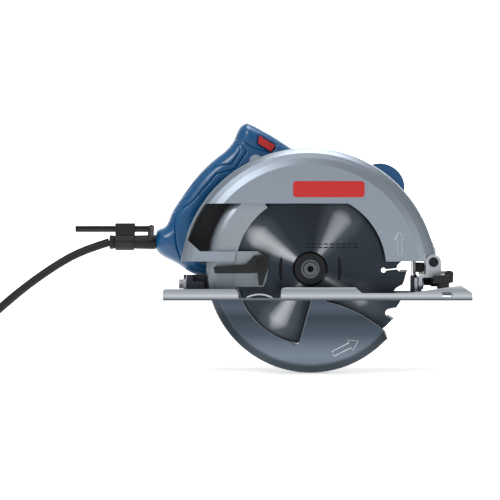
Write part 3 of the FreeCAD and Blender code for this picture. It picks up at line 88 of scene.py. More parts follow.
PLUG_BACK_Y = COIL_Y - 26.0             # where the cord goes into the plug's strain relief
PLUG_HALF_WIDE, PLUG_HALF_HIGH, PLUG_LONG = 17.0, 13.0, 30.0
RIDGE_PITCH, RELIEF_PITCH = 5.0, 3.6
PIN_R, PIN_SPREAD = 2.4, 9.5
CAMERA_X, CAMERA_Z = -57.0, 46.9
CAMERA_AWAY = 2000.0
LENS = 151.9


def place(x, y, z):
    """A point in the saw's millimetres, in the frame's metres."""
    return Vector(((x + SPINDLE_X) * MM, (y + BLADE_Y) * MM, z * MM))


def polar(x, z, radius, degrees):
    angle = math.radians(degrees)
    return x + radius * math.cos(angle), z + radius * math.sin(angle)


# ---- camera ----
def make_camera():
    data = bpy.data.cameras.new("camera")
    data.sensor_fit = "HORIZONTAL"
    data.sensor_width = 36.0
    data.lens = LENS
    camera = bpy.data.objects.new("camera", data)
    camera.location = place(CAMERA_X, -CAMERA_AWAY, CAMERA_Z)
    camera.rotation_euler = (math.radians(90), 0, 0)
    bpy.context.scene.collection.objects.link(camera)
    bpy.context.scene.camera = camera


make_camera()


# ---- materials ----
GRAIN_DEPTH = 0.0002    # metres


def new_material(name, colour, roughness, metallic=0.0, coat=0.0, specular=0.5):
    material = bpy.data.materials.new(name)
    material.use_nodes = True
    shader = material.node_tree.nodes["Principled BSDF"]
    shader.inputs["Base Color"].default_value = (*colour, 1)
    shader.inputs["Roughness"].default_value = roughness
    shader.inputs["Metallic"].default_value = metallic
    shader.inputs["Coat Weight"].default_value = coat
    shader.inputs["Coat Roughness"].default_value = 0.2
    shader.inputs["Specular IOR Level"].default_value = specular
    return material, material.node_tree, shader


def grain(tree, shader, scale, strength):
    """Fine relief from noise, in the object's own coordinates."""
    coords = tree.nodes.new("ShaderNodeTexCoord")
    noise = tree.nodes.new("ShaderNodeTexNoise")
    noise.inputs["Scale"].default_value = scale
    noise.inputs["Detail"].default_value = 3.0
    bump = tree.nodes.new("ShaderNodeBump")
    bump.inputs["Strength"].default_value = strength
    bump.inputs["Distance"].default_value = GRAIN_DEPTH
    tree.links.new(coords.outputs["Object"], noise.inputs["Vector"])
    tree.links.new(noise.outputs["Fac"], bump.inputs["Height"])
    tree.links.new(bump.outputs["Normal"], shader.inputs["Normal"])
    return noise


def colour_ramp(tree, value, stops):
    """Colour that follows a value through the given (place, colour) stops."""
    ramp = tree.nodes.new("ShaderNodeValToRGB")
    elements = ramp.color_ramp.elements
    while len(elements) < len(stops):
        elements.new(1.0)
    for element, (where, colour) in zip(elements, stops):
        element.position = where
        element.color = (*colour, 1)
    tree.links.new(value, ramp.inputs["Fac"])
    return ramp.outputs["Color"]


def simple(name, colour, roughness, metallic=0.0, scale=600.0, strength=0.15, shade=0.85, **more):
    """A material with fine grain and a faint change of shade."""
    material, tree, shader = new_material(name, colour, roughness, metallic, **more)
    noise = grain(tree, shader, scale, strength)
    darker = tuple(c * shade for c in colour)
    shades = colour_ramp(tree, noise.outputs["Fac"], [(0.3, darker), (0.7, colour)])
    tree.links.new(shades, shader.inputs["Base Color"])
    return material


def math_node(tree, operation, first, second=0.0):
    """A math node fed by a socket or a number at either input."""
    node = tree.nodes.new("ShaderNodeMath")
    node.operation = operation
    for socket, value in zip(node.inputs, (first, second)):
        if isinstance(value, (int, float)):
            socket.default_value = value
        else:
            tree.links.new(value, socket)
    return node.outputs["Value"]


def map_range(tree, value, low, high, to_high=1.0):
    """A value as a share of the way from low to high, held at both ends, times to_high."""
    node = tree.nodes.new("ShaderNodeMapRange")
    node.inputs["From Min"].default_value = low
    node.inputs["From Max"].default_value = high
    node.inputs["To Max"].default_value = to_high
    tree.links.new(value, node.inputs["Value"])
    return node.outputs["Result"]


def object_axes(tree):
    """X and Z of a surface point, in the frame's metres."""
    coords = tree.nodes.new("ShaderNodeTexCoord")
    split = tree.nodes.new("ShaderNodeSeparateXYZ")
    tree.links.new(coords.outputs["Object"], split.inputs["Vector"])
    return split.outputs["X"], split.outputs["Z"]


def from_spindle(tree, x, z):
    """A surface point's place across and up from the spindle, and its distance from it."""
    centre = place(0, 0, SPINDLE_Z)
    across = math_node(tree, "SUBTRACT", x, centre.x)
    up = math_node(tree, "SUBTRACT", z, centre.z)
    squares = [math_node(tree, "MULTIPLY", side, side) for side in (across, up)]
    return across, up, math_node(tree, "SQRT", math_node(tree, "ADD", *squares))


PLATE_EDGE_TOP = 14.0
PLATE_PAINTED_SHADING = [        # painted shade and painted highlights, along the height of the plate's upturned edge
    (0.06, (0.09, 0.105, 0.125)), (0.16, (0.30, 0.33, 0.365)), (0.30, (0.56, 0.58, 0.61)),
    (0.50, (0.36, 0.39, 0.43)), (0.72, (0.27, 0.30, 0.34)), (0.86, (0.46, 0.49, 0.53)),
]
BLADE_FANS = 4
FIRST_FAN = 58.5        # degrees from +X
BRIGHT_SIDE = 150.0     # the side on which the fans are brightest
FAN_FADE_R0, FAN_FADE_R1 = 58.0, 85.0
BLADE_SHADES = [        # from between the fans to the middle of one
    (0.0, (0.035, 0.044, 0.056)), (0.36, (0.075, 0.088, 0.105)), (0.5, (0.36, 0.38, 0.41)),
    (0.68, (0.62, 0.64, 0.67)),
]
GUARD_PAINTED_SHADING = [        # painted light and shade, from the floor to the top of the upper guard's window
    (0.02, (0.13, 0.165, 0.20)), (0.10, (0.175, 0.22, 0.27)), (0.15, (0.14, 0.175, 0.215)),
    (0.226, (0.065, 0.09, 0.118)), (0.33, (0.042, 0.058, 0.078)), (0.385, (0.09, 0.115, 0.15)),
    (0.44, (0.06, 0.08, 0.105)), (0.48, (0.15, 0.17, 0.195)), (0.66, (0.27, 0.305, 0.34)),
    (1.0, (0.32, 0.36, 0.405)),
]


def plate_material():
    """Rolled sheet steel, its upturned edge with painted shade along the foot and a painted highlight just
    above it.
    """
    material, tree, shader = new_material("plate_steel_look", (0.40, 0.425, 0.46), 0.3, 1.0)
    grain(tree, shader, 900, 0.12)
    _, height = object_axes(tree)
    shade = colour_ramp(tree, map_range(tree, height, 0.0, PLATE_EDGE_TOP * MM), PLATE_PAINTED_SHADING)
    tree.links.new(shade, shader.inputs["Base Color"])
    return material


def blade_material():
    """Ground steel, dark between painted bright fans that spread from the spindle and fade towards the rim
    under painted shade.

    The fans stand for a studio's reflections. They are colours, so they turn with the blade.
    """
    material, tree, shader = new_material("blade_steel_look", (0.20, 0.215, 0.235), 0.27, 1.0)
    across, up, radius = from_spindle(tree, *object_axes(tree))
    angle = math_node(tree, "ARCTAN2", up, across)
    turned_angle = math_node(tree, "SUBTRACT", angle, math.radians(FIRST_FAN))
    wave = math_node(tree, "COSINE", math_node(tree, "MULTIPLY", turned_angle, BLADE_FANS))
    lean = math_node(tree, "COSINE", math_node(tree, "SUBTRACT", angle, math.radians(BRIGHT_SIDE)))
    fan = math_node(tree, "MULTIPLY", wave, 0.5)
    fan = math_node(tree, "ADD", fan, math_node(tree, "MULTIPLY", lean, 0.06))
    # painted shade: dims the fans towards the rim, where the guards shade the blade
    fade = map_range(tree, radius, FAN_FADE_R0 * MM, FAN_FADE_R1 * MM, 0.42)
    fan = math_node(tree, "SUBTRACT", fan, fade)
    rays = tree.nodes.new("ShaderNodeCombineXYZ")
    tree.links.new(angle, rays.inputs["X"])
    noise = tree.nodes.new("ShaderNodeTexNoise")
    noise.inputs["Scale"].default_value = 2.2
    noise.inputs["Detail"].default_value = 6.0
    tree.links.new(rays.outputs["Vector"], noise.inputs["Vector"])
    ray = math_node(tree, "MULTIPLY", math_node(tree, "SUBTRACT", noise.outputs["Fac"], 0.5), 0.3)
    shade = colour_ramp(tree, math_node(tree, "ADD", fan, ray), BLADE_SHADES)
    tree.links.new(shade, shader.inputs["Base Color"])
    shader.inputs["Anisotropic"].default_value = 0.85
    tangent = tree.nodes.new("ShaderNodeTangent")
    tangent.direction_type = "RADIAL"
    tangent.axis = "Y"
    tree.links.new(tangent.outputs["Tangent"], shader.inputs["Tangent"])
    return material


def shaded_guard():
    """The lower guard's satin metal with painted light and shade: light inside the upper guard, a painted
    shadow of the sole under it, mid grey below.

    The painted shading stands for a studio's light and reflections, and the rim has painted shade below the
    sole.
    """
    material, tree, shader = new_material("guard_silver_look", (0.2, 0.23, 0.27), 0.34, 0.85)
    grain(tree, shader, 1400, 0.2)
    x, height = object_axes(tree)
    _, _, radius = from_spindle(tree, x, height)
    shade = colour_ramp(tree, map_range(tree, height, FLOOR_Z * MM, WINDOW_TOP_Z * MM), GUARD_PAINTED_SHADING)
    # painted shade: the rim is darker below the sole
    rim = map_range(tree, radius, (LOWER_R - 9.0) * MM, (LOWER_R - 6.0) * MM)
    below = map_range(tree, height, 0.02, -0.01, 0.62)
    dimmed = math_node(tree, "SUBTRACT", 1.0, math_node(tree, "MULTIPLY", rim, below))
    scaled = tree.nodes.new("ShaderNodeVectorMath")
    scaled.operation = "SCALE"
    tree.links.new(shade, scaled.inputs["Vector"])
    tree.links.new(dimmed, scaled.inputs["Scale"])
    tree.links.new(scaled.outputs["Vector"], shader.inputs["Base Color"])
    return material


LOOKS = {
    "cast_silver": simple("cast_silver_look", (0.285, 0.33, 0.385), 0.4, 0.85,
                          scale=1500, strength=0.4, shade=0.86),
    "guard_silver": shaded_guard(),
    "plate_steel": plate_material(),
    "hardware_steel": simple("hardware_steel_look", (0.56, 0.56, 0.57), 0.3, 1.0, scale=900, strength=0.08),
    "dark_steel": simple("dark_steel_look", (0.022, 0.023, 0.026), 0.26, 0.8, scale=900, strength=0.08),
    "bracket_steel": simple("bracket_steel_look", (0.035, 0.038, 0.05), 0.32, 0.7, scale=900, strength=0.12),
    "mid_steel": simple("mid_steel_look", (0.14, 0.155, 0.175), 0.22, 1.0, scale=900, strength=0.08),
    "blade_steel": blade_material(),
    "carbide": simple("carbide_look", (0.25, 0.25, 0.27), 0.35, 1.0),
    "lamination": simple("lamination_look", (0.2, 0.2, 0.21), 0.5, 0.9),
    "copper": simple("copper_look", (0.62, 0.27, 0.13), 0.35, 1.0),
    "blue_plastic": simple("blue_plastic_look", (0.0015, 0.072, 0.195), 0.3,
                           scale=1300, strength=0.1, shade=0.9, coat=0.15),
    "black_plastic": simple("black_plastic_look", (0.008, 0.009, 0.010), 0.38,
                            scale=1200, strength=0.12, specular=0.3),
    "red_plastic": simple("red_plastic_look", (0.46, 0.007, 0.008), 0.36, scale=1200, strength=0.05),
    "cream_plastic": simple("cream_plastic_look", (0.6, 0.57, 0.48), 0.5),
    "carbon": simple("carbon_look", (0.02, 0.02, 0.02), 0.7),
    "black_rubber": simple("black_rubber_look", (0.007, 0.008, 0.009), 0.45,
                           scale=1000, strength=0.15, specular=0.25),
}
# a lighter copy of the guard metal: painted highlight on the raised lines
EMBOSS_HIGHLIGHT = simple("emboss_highlight_look", (0.46, 0.49, 0.53), 0.4, 0.85)
# near-black for print and the dark seam, and painted shade in the bolt's socket
PRINT_AND_SHADE = simple("print_and_shade_look", (0.012, 0.013, 0.016), 0.7, specular=0.1)
# near-black sheet that paints shade inside the upper guard
INSIDE_SHADE = simple("inside_shade_look", (0.012, 0.014, 0.018), 0.6)
SLOT_OF = {entry["node"]: entry["material_slot"] for entry in frame["record"]["subparts"]}

for node_name, node in frame["nodes"].items():
    node.data.materials.clear()
    node.data.materials.append(LOOKS["mid_steel" if node_name == "blade_bolt" else SLOT_OF[node_name]])


# ---- mesh helpers ----
def piece(name, vertices, faces, material, body, slot_name, smooth_deg=35.0):
    """A mesh that rides on a body; vertices are in the frame's metres."""
    mesh = bpy.data.meshes.new(name)
    mesh.from_pydata([tuple(v) for v in vertices], [], faces)
    mesh.update()
    item = bpy.data.objects.new(name, mesh)
    bpy.context.scene.collection.objects.link(item)
    bpy.context.view_layer.objects.active = item
    item.select_set(True)
    bpy.ops.object.mode_set(mode="EDIT")
    bpy.ops.mesh.select_all(action="SELECT")
    bpy.ops.mesh.normals_make_consistent(inside=False)
    bpy.ops.object.mode_set(mode="OBJECT")
    if smooth_deg:
        mesh.shade_smooth()
        mesh.set_sharp_from_angle(angle=math.radians(smooth_deg))
    item.select_set(False)
    mesh.materials.append(material)
    if body:
        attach(item, body)
    return item


def ring_faces(rows, count):
    """Quads between rows of count vertices each, every row a closed ring."""
    faces = []
    for row in range(rows - 1):
        for k in range(count):
            a, b = row * count + k, row * count + (k + 1) % count
            faces.append((a, b, b + count, a + count))
    return faces


def end_faces(rows, count):
    """The two faces that close the first and the last row."""
    return [tuple(range(count)), tuple(range((rows - 1) * count, rows * count))]


def rounded_corners(x0, x1, z0, z1, radius, steps):
    """Outline of a rectangle with round corners, as (x, z)."""
    outline = []
    for x, z, start in ((x1 - radius, z1 - radius, 0), (x0 + radius, z1 - radius, 90),
                        (x0 + radius, z0 + radius, 180), (x1 - radius, z0 + radius, 270)):
        outline += [polar(x, z, radius, start + 90 * k / steps) for k in range(steps + 1)]
    return outline


def tube(points, radius, sides=8):
    """Vertices and faces of a closed round tube along points in metres."""
    count = len(points)
    vertices = []
    side = Vector((0, 1, 0))
    for i, point in enumerate(points):
        ahead = (points[min(i + 1, count - 1)] - points[max(i - 1, 0)]).normalized()
        across = ahead.cross(side)
        if across.length < 1e-6:
            across = ahead.cross(Vector((1, 0, 0)))
        across.normalize()
        up = across.cross(ahead).normalized()
        for k in range(sides):
            angle = math.tau * k / sides
            vertices.append(point + across * (radius * math.cos(angle)) + up * (radius * math.sin(angle)))
    return vertices, ring_faces(count, sides) + end_faces(count, sides)


def turned(profile, x, z, start, sweep, steps):
    """Vertices and faces of a closed (radius, y) outline turned about the line along Y through x, z."""
    whole = sweep >= 360
    rows = steps if whole else steps + 1
    count = len(profile)
    vertices, faces = [], []
    for i in range(rows):
        for radius, y in profile:
            px, pz = polar(x, z, radius, start + sweep * i / steps)
            vertices.append(place(px, y, pz))
    for i in range(steps):
        first, second = i * count, (i + 1) % rows * count
        for k in range(count):
            j = (k + 1) % count
            faces.append((first + k, first + j, second + j, second + k))
    if not whole:
        faces += end_faces(rows, count)
    return vertices, faces


def slab(points, y0, y1, edge=0.4):
    """A flat piece with a chamfered rim on its y0 side, from an outline of (x, z)."""
    count = len(points)
    middle = Vector((sum(p[0] for p in points) / count, sum(p[1] for p in points) / count))
    inner = []
    for p in points:
        out = Vector(p) - middle
        inner.append(middle + out * (1 - edge / out.length))
    vertices = [place(x, y0, z) for x, z in inner]
    vertices += [place(x, y0 + edge, z) for x, z in points]
    vertices += [place(x, y1, z) for x, z in points]
    return vertices, end_faces(3, count) + ring_faces(3, count)


def joined(shapes):
    """Several (vertices, faces) as one."""
    vertices, faces = [], []
    for more, its_faces in shapes:
        base = len(vertices)
        vertices += more
        faces += [tuple(base + i for i in face) for face in its_faces]
    return vertices, faces


# ---- cord, coil and plug ----
CORD_ROUTE = [          # X and Z of the cord's points, from the sleeve to the coil
    (SLEEVE_X0 - 0.3, CORD_Z),
    (-219.0, 47.0),
    (-244.0, 33.5),
    (-275.0, 12.0),
    (-304.0, -12.5),
    (-330.0, -37.5),
    (-353.0, -55.5),
    (-378.0, FLOOR_Z + CORD_R),
    (-404.0, FLOOR_Z + CORD_R),
]
COIL_STEP = 2 * CORD_R
COIL_LAYERS = [         # radius and height of each turn, as steps from the coil's middle
    (0, -1), (-1, -1), (-1, 0), (0, 0), (1, 0), (1, 1), (0, 1), (-1, 1),
]
POINTS_PER_TURN = 24


def coil_points():
    """Turns about the coil's axis, clockwise from above; each changes place over a quarter turn."""
    points = []
    for turn, (across, up) in enumerate(COIL_LAYERS):
        last = turn == len(COIL_LAYERS) - 1
        to_across, to_up = (across, up) if last else COIL_LAYERS[turn + 1]
        for k in range(POINTS_PER_TURN):
            part = k / POINTS_PER_TURN
            move = min(1.0, max(0.0, (part - 0.55) / 0.27))
            move = move * move * (3 - 2 * move)
            radius = COIL_R + COIL_STEP * (across + (to_across - across) * move)
            height = COIL_MID_Z + COIL_STEP * (up + (to_up - up) * move)
            if last:
                height += COIL_LIFT * max(0.0, (part - 0.7) / 0.3) ** 1.5
            x, y = polar(COIL_X, COIL_Y, radius, -90 - 360 * part)
            points.append(place(x, y, height))
    return points


def tail_points():
    """From the coil's last turn up and out to the plug, which lies on the coil."""
    start_r, start_z = COIL_R - COIL_STEP, COIL_MID_Z + COIL_STEP + COIL_LIFT
    points = []
    for k in range(5):
        part = k / 4
        x, y = polar(COIL_X, COIL_Y, start_r + 13.0 * part ** 1.3, -90 - 44 * part)
        points.append(place(x, y, start_z + 7.0 * part))
    points.append(place(PLUG_X, PLUG_BACK_Y - 1.0, PLUG_Z))
    points.append(place(PLUG_X, PLUG_BACK_Y + 6.0, PLUG_Z))
    return points


def as_mesh(item):
    depsgraph = bpy.context.evaluated_depsgraph_get()
    return bpy.data.meshes.new_from_object(item.evaluated_get(depsgraph))


def make_cord():
    """The cord as one mesh, with the line through its middle and that line's length."""
    route = [place(x, CORD_Y, z) for x, z in CORD_ROUTE]
    points = route + coil_points() + tail_points()
    data = bpy.data.curves.new("cord_line", "CURVE")
    data.dimensions = "3D"
    spline = data.splines.new("NURBS")
    spline.points.add(len(points) - 1)
    for target, point in zip(spline.points, points):
        target.co = (*point, 1)
    spline.order_u = 3
    spline.use_endpoint_u = True
    spline.resolution_u = 4
    line = bpy.data.objects.new("cord_line", data)
    bpy.context.scene.collection.objects.link(line)
    path = [v.co.copy() for v in as_mesh(line).vertices]
    data.bevel_depth = CORD_R * MM
    data.bevel_resolution = 4
    data.use_fill_caps = True
    mesh = as_mesh(line)
    bpy.data.objects.remove(line)
    mesh.name = "mains_cord"
    mesh.shade_smooth()
    mesh.materials.clear()
    mesh.materials.append(LOOKS["black_rubber"])
    cord = bpy.data.objects.new("mains_cord", mesh)
    bpy.context.scene.collection.objects.link(cord)
    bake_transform(cord)
    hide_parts("cord_tube", "cord_coil")
    length = sum((b - a).length for a, b in zip(path, path[1:]))
    return cord, path, length


def rounded_box(x0, x1, y0, y1, z0, z1, radius):
    """Vertices and faces of a box with round long edges along Y, drawn in at both ends."""
    outline = rounded_corners(x0, x1, z0, z1, radius, 4)
    mid_x, mid_z = (x0 + x1) / 2, (z0 + z1) / 2
    rows = [(y0, 0.90), (y0 + radius * 0.3, 0.97), (y0 + radius, 1.0), (y1 - radius, 1.0),
            (y1 - radius * 0.3, 0.97), (y1, 0.90)]
    vertices = []
    for y, size in rows:
        vertices += [place(mid_x + (x - mid_x) * size, y, mid_z + (z - mid_z) * size) for x, z in outline]
    return vertices, ring_faces(len(rows), len(outline)) + end_faces(len(rows), len(outline))


def plug_box(half_wide, half_high, y0, y1, radius):
    """A rounded box about the plug's middle line."""
    return rounded_box(PLUG_X - half_wide, PLUG_X + half_wide, y0, y1,
                       PLUG_Z - half_high, PLUG_Z + half_high, radius)


def make_plug():
    """Two-pin plug with a grip waist, a ribbed strain relief and rounded pins, lying on the coil."""
    back_y = PLUG_FACE_Y - PLUG_LONG
    shapes = [plug_box(PLUG_HALF_WIDE, PLUG_HALF_HIGH, back_y, PLUG_FACE_Y, 7.0)]
    relief_profile = []
    for n in range(6):
        y = back_y - RELIEF_PITCH * n
        wide = 8.4 - 0.55 * n
        relief_profile += [(wide, y), (wide, y - 2.2), (wide - 1.2, y - 2.2), (wide - 1.2, y - RELIEF_PITCH)]
    relief_profile += [(CORD_R + 0.2, relief_profile[-1][1]), (CORD_R + 0.2, back_y + 1)]
    shapes.append(turned(relief_profile, PLUG_X, PLUG_Z, 0, 360, 20))
    for n in range(3):
        y = back_y + 5 + RIDGE_PITCH * n
        shapes.append(plug_box(PLUG_HALF_WIDE + 0.5, PLUG_HALF_HIGH - 2, y, y + 2.5, 6.0))
    plug = piece("plug_body", *joined(shapes), LOOKS["black_plastic"], "carriage", "black_plastic")
    pin_profile = [(0.01, PLUG_FACE_Y - 1), (PIN_R, PLUG_FACE_Y - 1), (PIN_R, PLUG_FACE_Y + 17),
                   (PIN_R - 0.5, PLUG_FACE_Y + 18.6), (0.01, PLUG_FACE_Y + 19)]
    pins = [turned(pin_profile, PLUG_X + side * PIN_SPREAD, PLUG_Z, 0, 360, 16) for side in (-1, 1)]
    pin_piece = piece("plug_pins", *joined(pins), LOOKS["hardware_steel"], "carriage", "hardware_steel")
    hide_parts("mains_plug")
    return [plug, pin_piece]


cord, cord_path, cord_length = make_cord()
plug_pieces = make_plug()

# ---- handle skins ----
HANDLE_OUTLINE = [
    (-149.3, 62.0), (-147.0, 67.0), (-140.0, 69.0), (-136.2, 75.0), (-133.6, 83.0), (-128.1, 92.2),
    (-109.6, 118.3), (-94.7, 133.2), (-79.9, 144.4), (-73.0, 153.0), (-70.0, 161.5), (-66.0, 168.5),
    (-59.2, 171.3), (-53.0, 168.6), (-36.4, 159.8), (-14.7, 145.8), (6.0, 131.0), (24.0, 112.0),
    (34.0, 92.0), (34.0, 52.0), (14.0, 33.0), (-30.0, 26.0), (-60.0, 20.5), (-92.0, 19.0),
    (-115.4, 24.4), (-127.0, 33.4), (-142.0, 40.6), (-149.3, 47.0)]
FINGER_OPENING = [
    (-104.0, 66.0), (-105.0, 76.0), (-99.0, 87.0), (-88.0, 100.5), (-76.0, 110.5), (-62.0, 117.0),
    (-51.0, 116.0), (-46.0, 106.0), (-47.0, 90.0), (-52.0, 72.0), (-62.0, 61.0), (-82.0, 56.0),
    (-97.0, 58.0)]
LOCK_CORNERS = [(-48.3, 157.4), (-32.0, 147.4), (-36.4, 141.4), (-50.0, 150.0)]
GROOVES = [             # lines pressed into the handle's side
    [(-123.9, 96.1), (-115.2, 106.2), (-104.3, 118.4), (-89.4, 128.6), (-74.5, 130.0), (-66.4, 142.8),
     (-68.4, 145.5)],
    [(-131.0, 84.0), (-122.6, 87.3), (-113.8, 92.7), (-101.6, 106.2), (-89.4, 120.5), (-71.8, 124.6),
     (-59.6, 142.8), (-66.4, 148.9), (-73.0, 149.5)],
    [(-74.0, 154.5), (-65.0, 153.4), (-52.8, 145.5), (-40.6, 141.5)],
    [(-130.0, 92.0), (-123.0, 92.5), (-119.0, 96.0)],
    [(-128.7, 80.0), (-130.0, 69.6), (-128.0, 52.0), (-123.9, 38.0)],
]
SKIN_STEP = 1.5         # spacing of the skin's points
EDGE_GAP = 0.8          # free strip between them and the outline's own points
GROOVE_DEPTH, GROOVE_HALF = 1.1, 0.55
CROWN_R = 15.0          # width of the rounding along the shell's edges


def rounded_outline(points, step=2.0):
    """The closed outline with tangent arcs at its corners, as the solid has, in short steps."""
    count = len(points)
    corners = [Vector(p) for p in points]
    curve = []
    for i, corner in enumerate(corners):
        before, after = corners[i - 1], corners[(i + 1) % count]
        reach = 0.48 * min((corner - before).length, (after - corner).length)
        start = corner + (before - corner).normalized() * reach
        end = corner + (after - corner).normalized() * reach
        for k in range(7):
            t = k / 6
            curve.append(start * (1 - t) ** 2 + corner * 2 * t * (1 - t) + end * t * t)
    spaced = []
    for a, b in zip(curve, curve[1:] + curve[:1]):
        pieces = max(1, round((b - a).length / step))
        spaced += [a + (b - a) * k / pieces for k in range(pieces)]
    thinned = [spaced[0]]
    for p in spaced[1:]:
        if (p - thinned[-1]).length > step * 0.45:
            thinned.append(p)
    return thinned


def distances(places, line, closed):
    """Distance of each place to a polyline, as an array."""
    ends = line + line[:1] if closed else line
    best = np.full(len(places), 1e9)
    for a, b in zip(ends, ends[1:]):
        a, b = np.array(a), np.array(b)
        run = b - a
        t = np.clip((places - a) @ run / (run @ run), 0, 1)
        best = np.minimum(best, np.linalg.norm(places - a - t[:, None] * run, axis=1))
    return best


def inside(places, polygon):
    """Whether each place lies within a closed polygon, as an array."""
    result = np.zeros(len(places), bool)
    for a, b in zip(polygon, polygon[1:] + polygon[:1]):
        crosses = (a[1] > places[:, 1]) != (b[1] > places[:, 1])
        span = b[1] - a[1] if abs(b[1] - a[1]) > 1e-9 else 1e-9
        x = a[0] + (places[:, 1] - a[1]) / span * (b[0] - a[0])
        result ^= crosses & (places[:, 0] < x)
    return result


SHELL_EDGE = [tuple(p) for p in rounded_outline(HANDLE_OUTLINE)]
OPENING_EDGE = [tuple(p) for p in rounded_outline(FINGER_OPENING)]


def within_shell(places):
    return inside(places, SHELL_EDGE) & ~inside(places, OPENING_EDGE)


def edge_distance(places):
    return np.minimum(distances(places, SHELL_EDGE, True), distances(places, OPENING_EDGE, True))


def groove_points():
    """Rows of points along and beside each groove, close enough to draw its hollow."""
    points = []
    for line in GROOVES:
        for a, b in zip(line, line[1:]):
            a, b = Vector(a), Vector(b)
            ahead = (b - a).normalized()
            across = Vector((-ahead.y, ahead.x))
            for k in range(max(1, round((b - a).length / SKIN_STEP))):
                points += [a + ahead * (k * SKIN_STEP) + across * offset
                           for offset in (-0.9, -0.45, 0.0, 0.45, 0.9)]
    return np.array([tuple(p) for p in points])


def skin_mesh():
    """Flat triangles that fill the shell's outline, finer along the grooves."""
    grid = np.array([(x, z) for x in np.arange(-150, 36, SKIN_STEP) for z in np.arange(18, 172, SKIN_STEP)])
    fine = groove_points()
    grid = grid[within_shell(grid) & (edge_distance(grid) > EDGE_GAP)]
    fine = fine[within_shell(fine) & (edge_distance(fine) > EDGE_GAP)]
    grid = grid[np.min([distances(grid, line, False) for line in GROOVES], axis=0) > 1.1]
    points = SHELL_EDGE + OPENING_EDGE + [tuple(p) for p in grid] + [tuple(p) for p in fine]
    n, m = len(SHELL_EDGE), len(OPENING_EDGE)
    edges = [(i, (i + 1) % n) for i in range(n)] + [(n + i, n + (i + 1) % m) for i in range(m)]
    flat, _, faces, *_ = delaunay_2d_cdt([Vector(p) for p in points], edges, [], 0, 0.01)
    flat = np.array([tuple(p) for p in flat])
    centres = np.array([flat[list(face)].mean(axis=0) for face in faces])
    return flat, [tuple(face) for face, ok in zip(faces, within_shell(centres)) if ok]


def handle_skin(name, towards, node):
    """One shell's outer surface: crowned between its edges, with grooves and the lock button's seat."""
    flat, faces = skin_mesh()
    edge = edge_distance(flat)
    depth = np.clip(1 - edge / CROWN_R, 0, 1)
    rise = HANDLE_HALF * (1 - depth ** 2.4) ** (1 / 2.0)
    for line in GROOVES:
        rise -= GROOVE_DEPTH * np.exp(-(distances(flat, line, False) / GROOVE_HALF) ** 2) * (edge > 0.5)
    if towards < 0:
        seat_rim = 2.0 * np.exp(-(distances(flat, LOCK_CORNERS, True) / 0.9) ** 2)
        rise -= np.where(inside(flat, LOCK_CORNERS), 3.0, seat_rim)
    rise = np.maximum(rise, 0.02)
    vertices = [place(x, HANDLE_Y + towards * r, z) for (x, z), r in zip(flat, rise)]
    used = sorted({i for face in faces for i in face})
    index = {old: new for new, old in enumerate(used)}
    skin = piece(name, [vertices[i] for i in used], [tuple(index[i] for i in face) for face in faces],
                 LOOKS["blue_plastic"], "saw", "blue_plastic", smooth_deg=50)
    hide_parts(node)


handle_skin("handle_near_skin", -1, "handle_near_shell")
handle_skin("handle_far_skin", 1, "handle_far_shell")


# ---- upper guard's trim ----
def shade_guard_inside():
    """Painted shade: a dark sheet inside the upper guard's back and rim."""
    start = math.degrees(math.asin((GUARD_BOTTOM_Z + 0.6 - GUARD_Z) / SHADE_SHEET_R))
    profile = [(SHADE_SHEET_R, -6.0), (SHADE_SHEET_R, SHADE_SHEET_BACK_Y), (46.0, SHADE_SHEET_BACK_Y), (46.0, SHADE_SHEET_BACK_Y - 0.6),
               (SHADE_SHEET_R - 0.8, SHADE_SHEET_BACK_Y - 0.6), (SHADE_SHEET_R - 0.8, -6.0)]
    shape = turned(profile, GUARD_X, GUARD_Z, start + 14.0, 180 - 2 * start - 14.0, 96)
    piece("guard_inside_shade", *shape, INSIDE_SHADE, "saw", "cast_silver")


def raised_bar():
    """Plain red bar raised on the guard's face."""
    outline = rounded_corners(-16.5, 50.5, 96.5, 111.5, 3.0, 6)
    bar = slab(outline, GUARD_FACE_Y - 0.7, GUARD_FACE_Y + 0.3)
    piece("red_bar", *bar, LOOKS["red_plastic"], "saw", "red_plastic")


def arrow_outline(x, z, length, head, shaft, degrees):
    """Outline of an arrow that starts at x, z."""
    half, neck = head / 2, length - head * 0.8
    shape = [(0, -shaft / 2), (neck, -shaft / 2), (neck, -half), (length, 0), (neck, half),
             (neck, shaft / 2), (0, shaft / 2)]
    turn = math.radians(degrees)
    cos, sin = math.cos(turn), math.sin(turn)
    return [(x + a * cos - b * sin, z + a * sin + b * cos) for a, b in shape]


def embossed(name, points, y, body, slot_name):
    """A raised line round an outline on a flat face."""
    line = []
    for a, b in zip(points, points[1:] + points[:1]):
        line += [place(a[0] + (b[0] - a[0]) * k / 4, y, a[1] + (b[1] - a[1]) * k / 4) for k in range(4)]
    line.append(line[0])
    piece(name, *tube(line, 0.45 * MM), EMBOSS_HIGHLIGHT, body, slot_name)


def guard_arrows():
    """An arrow on each guard that shows which way the blade turns."""
    upper = arrow_outline(84.0, 43.0, 21.0, 9.0, 4.0, 93.0)
    lower = arrow_outline(21.0, -51.0, 27.0, 11.0, 5.0, 27.0)
    embossed("upper_arrow", upper, GUARD_FACE_Y - 0.05, "saw", "cast_silver")
    embossed("lower_arrow", lower, LOWER_FACE_Y - 0.05, "guard", "guard_silver")


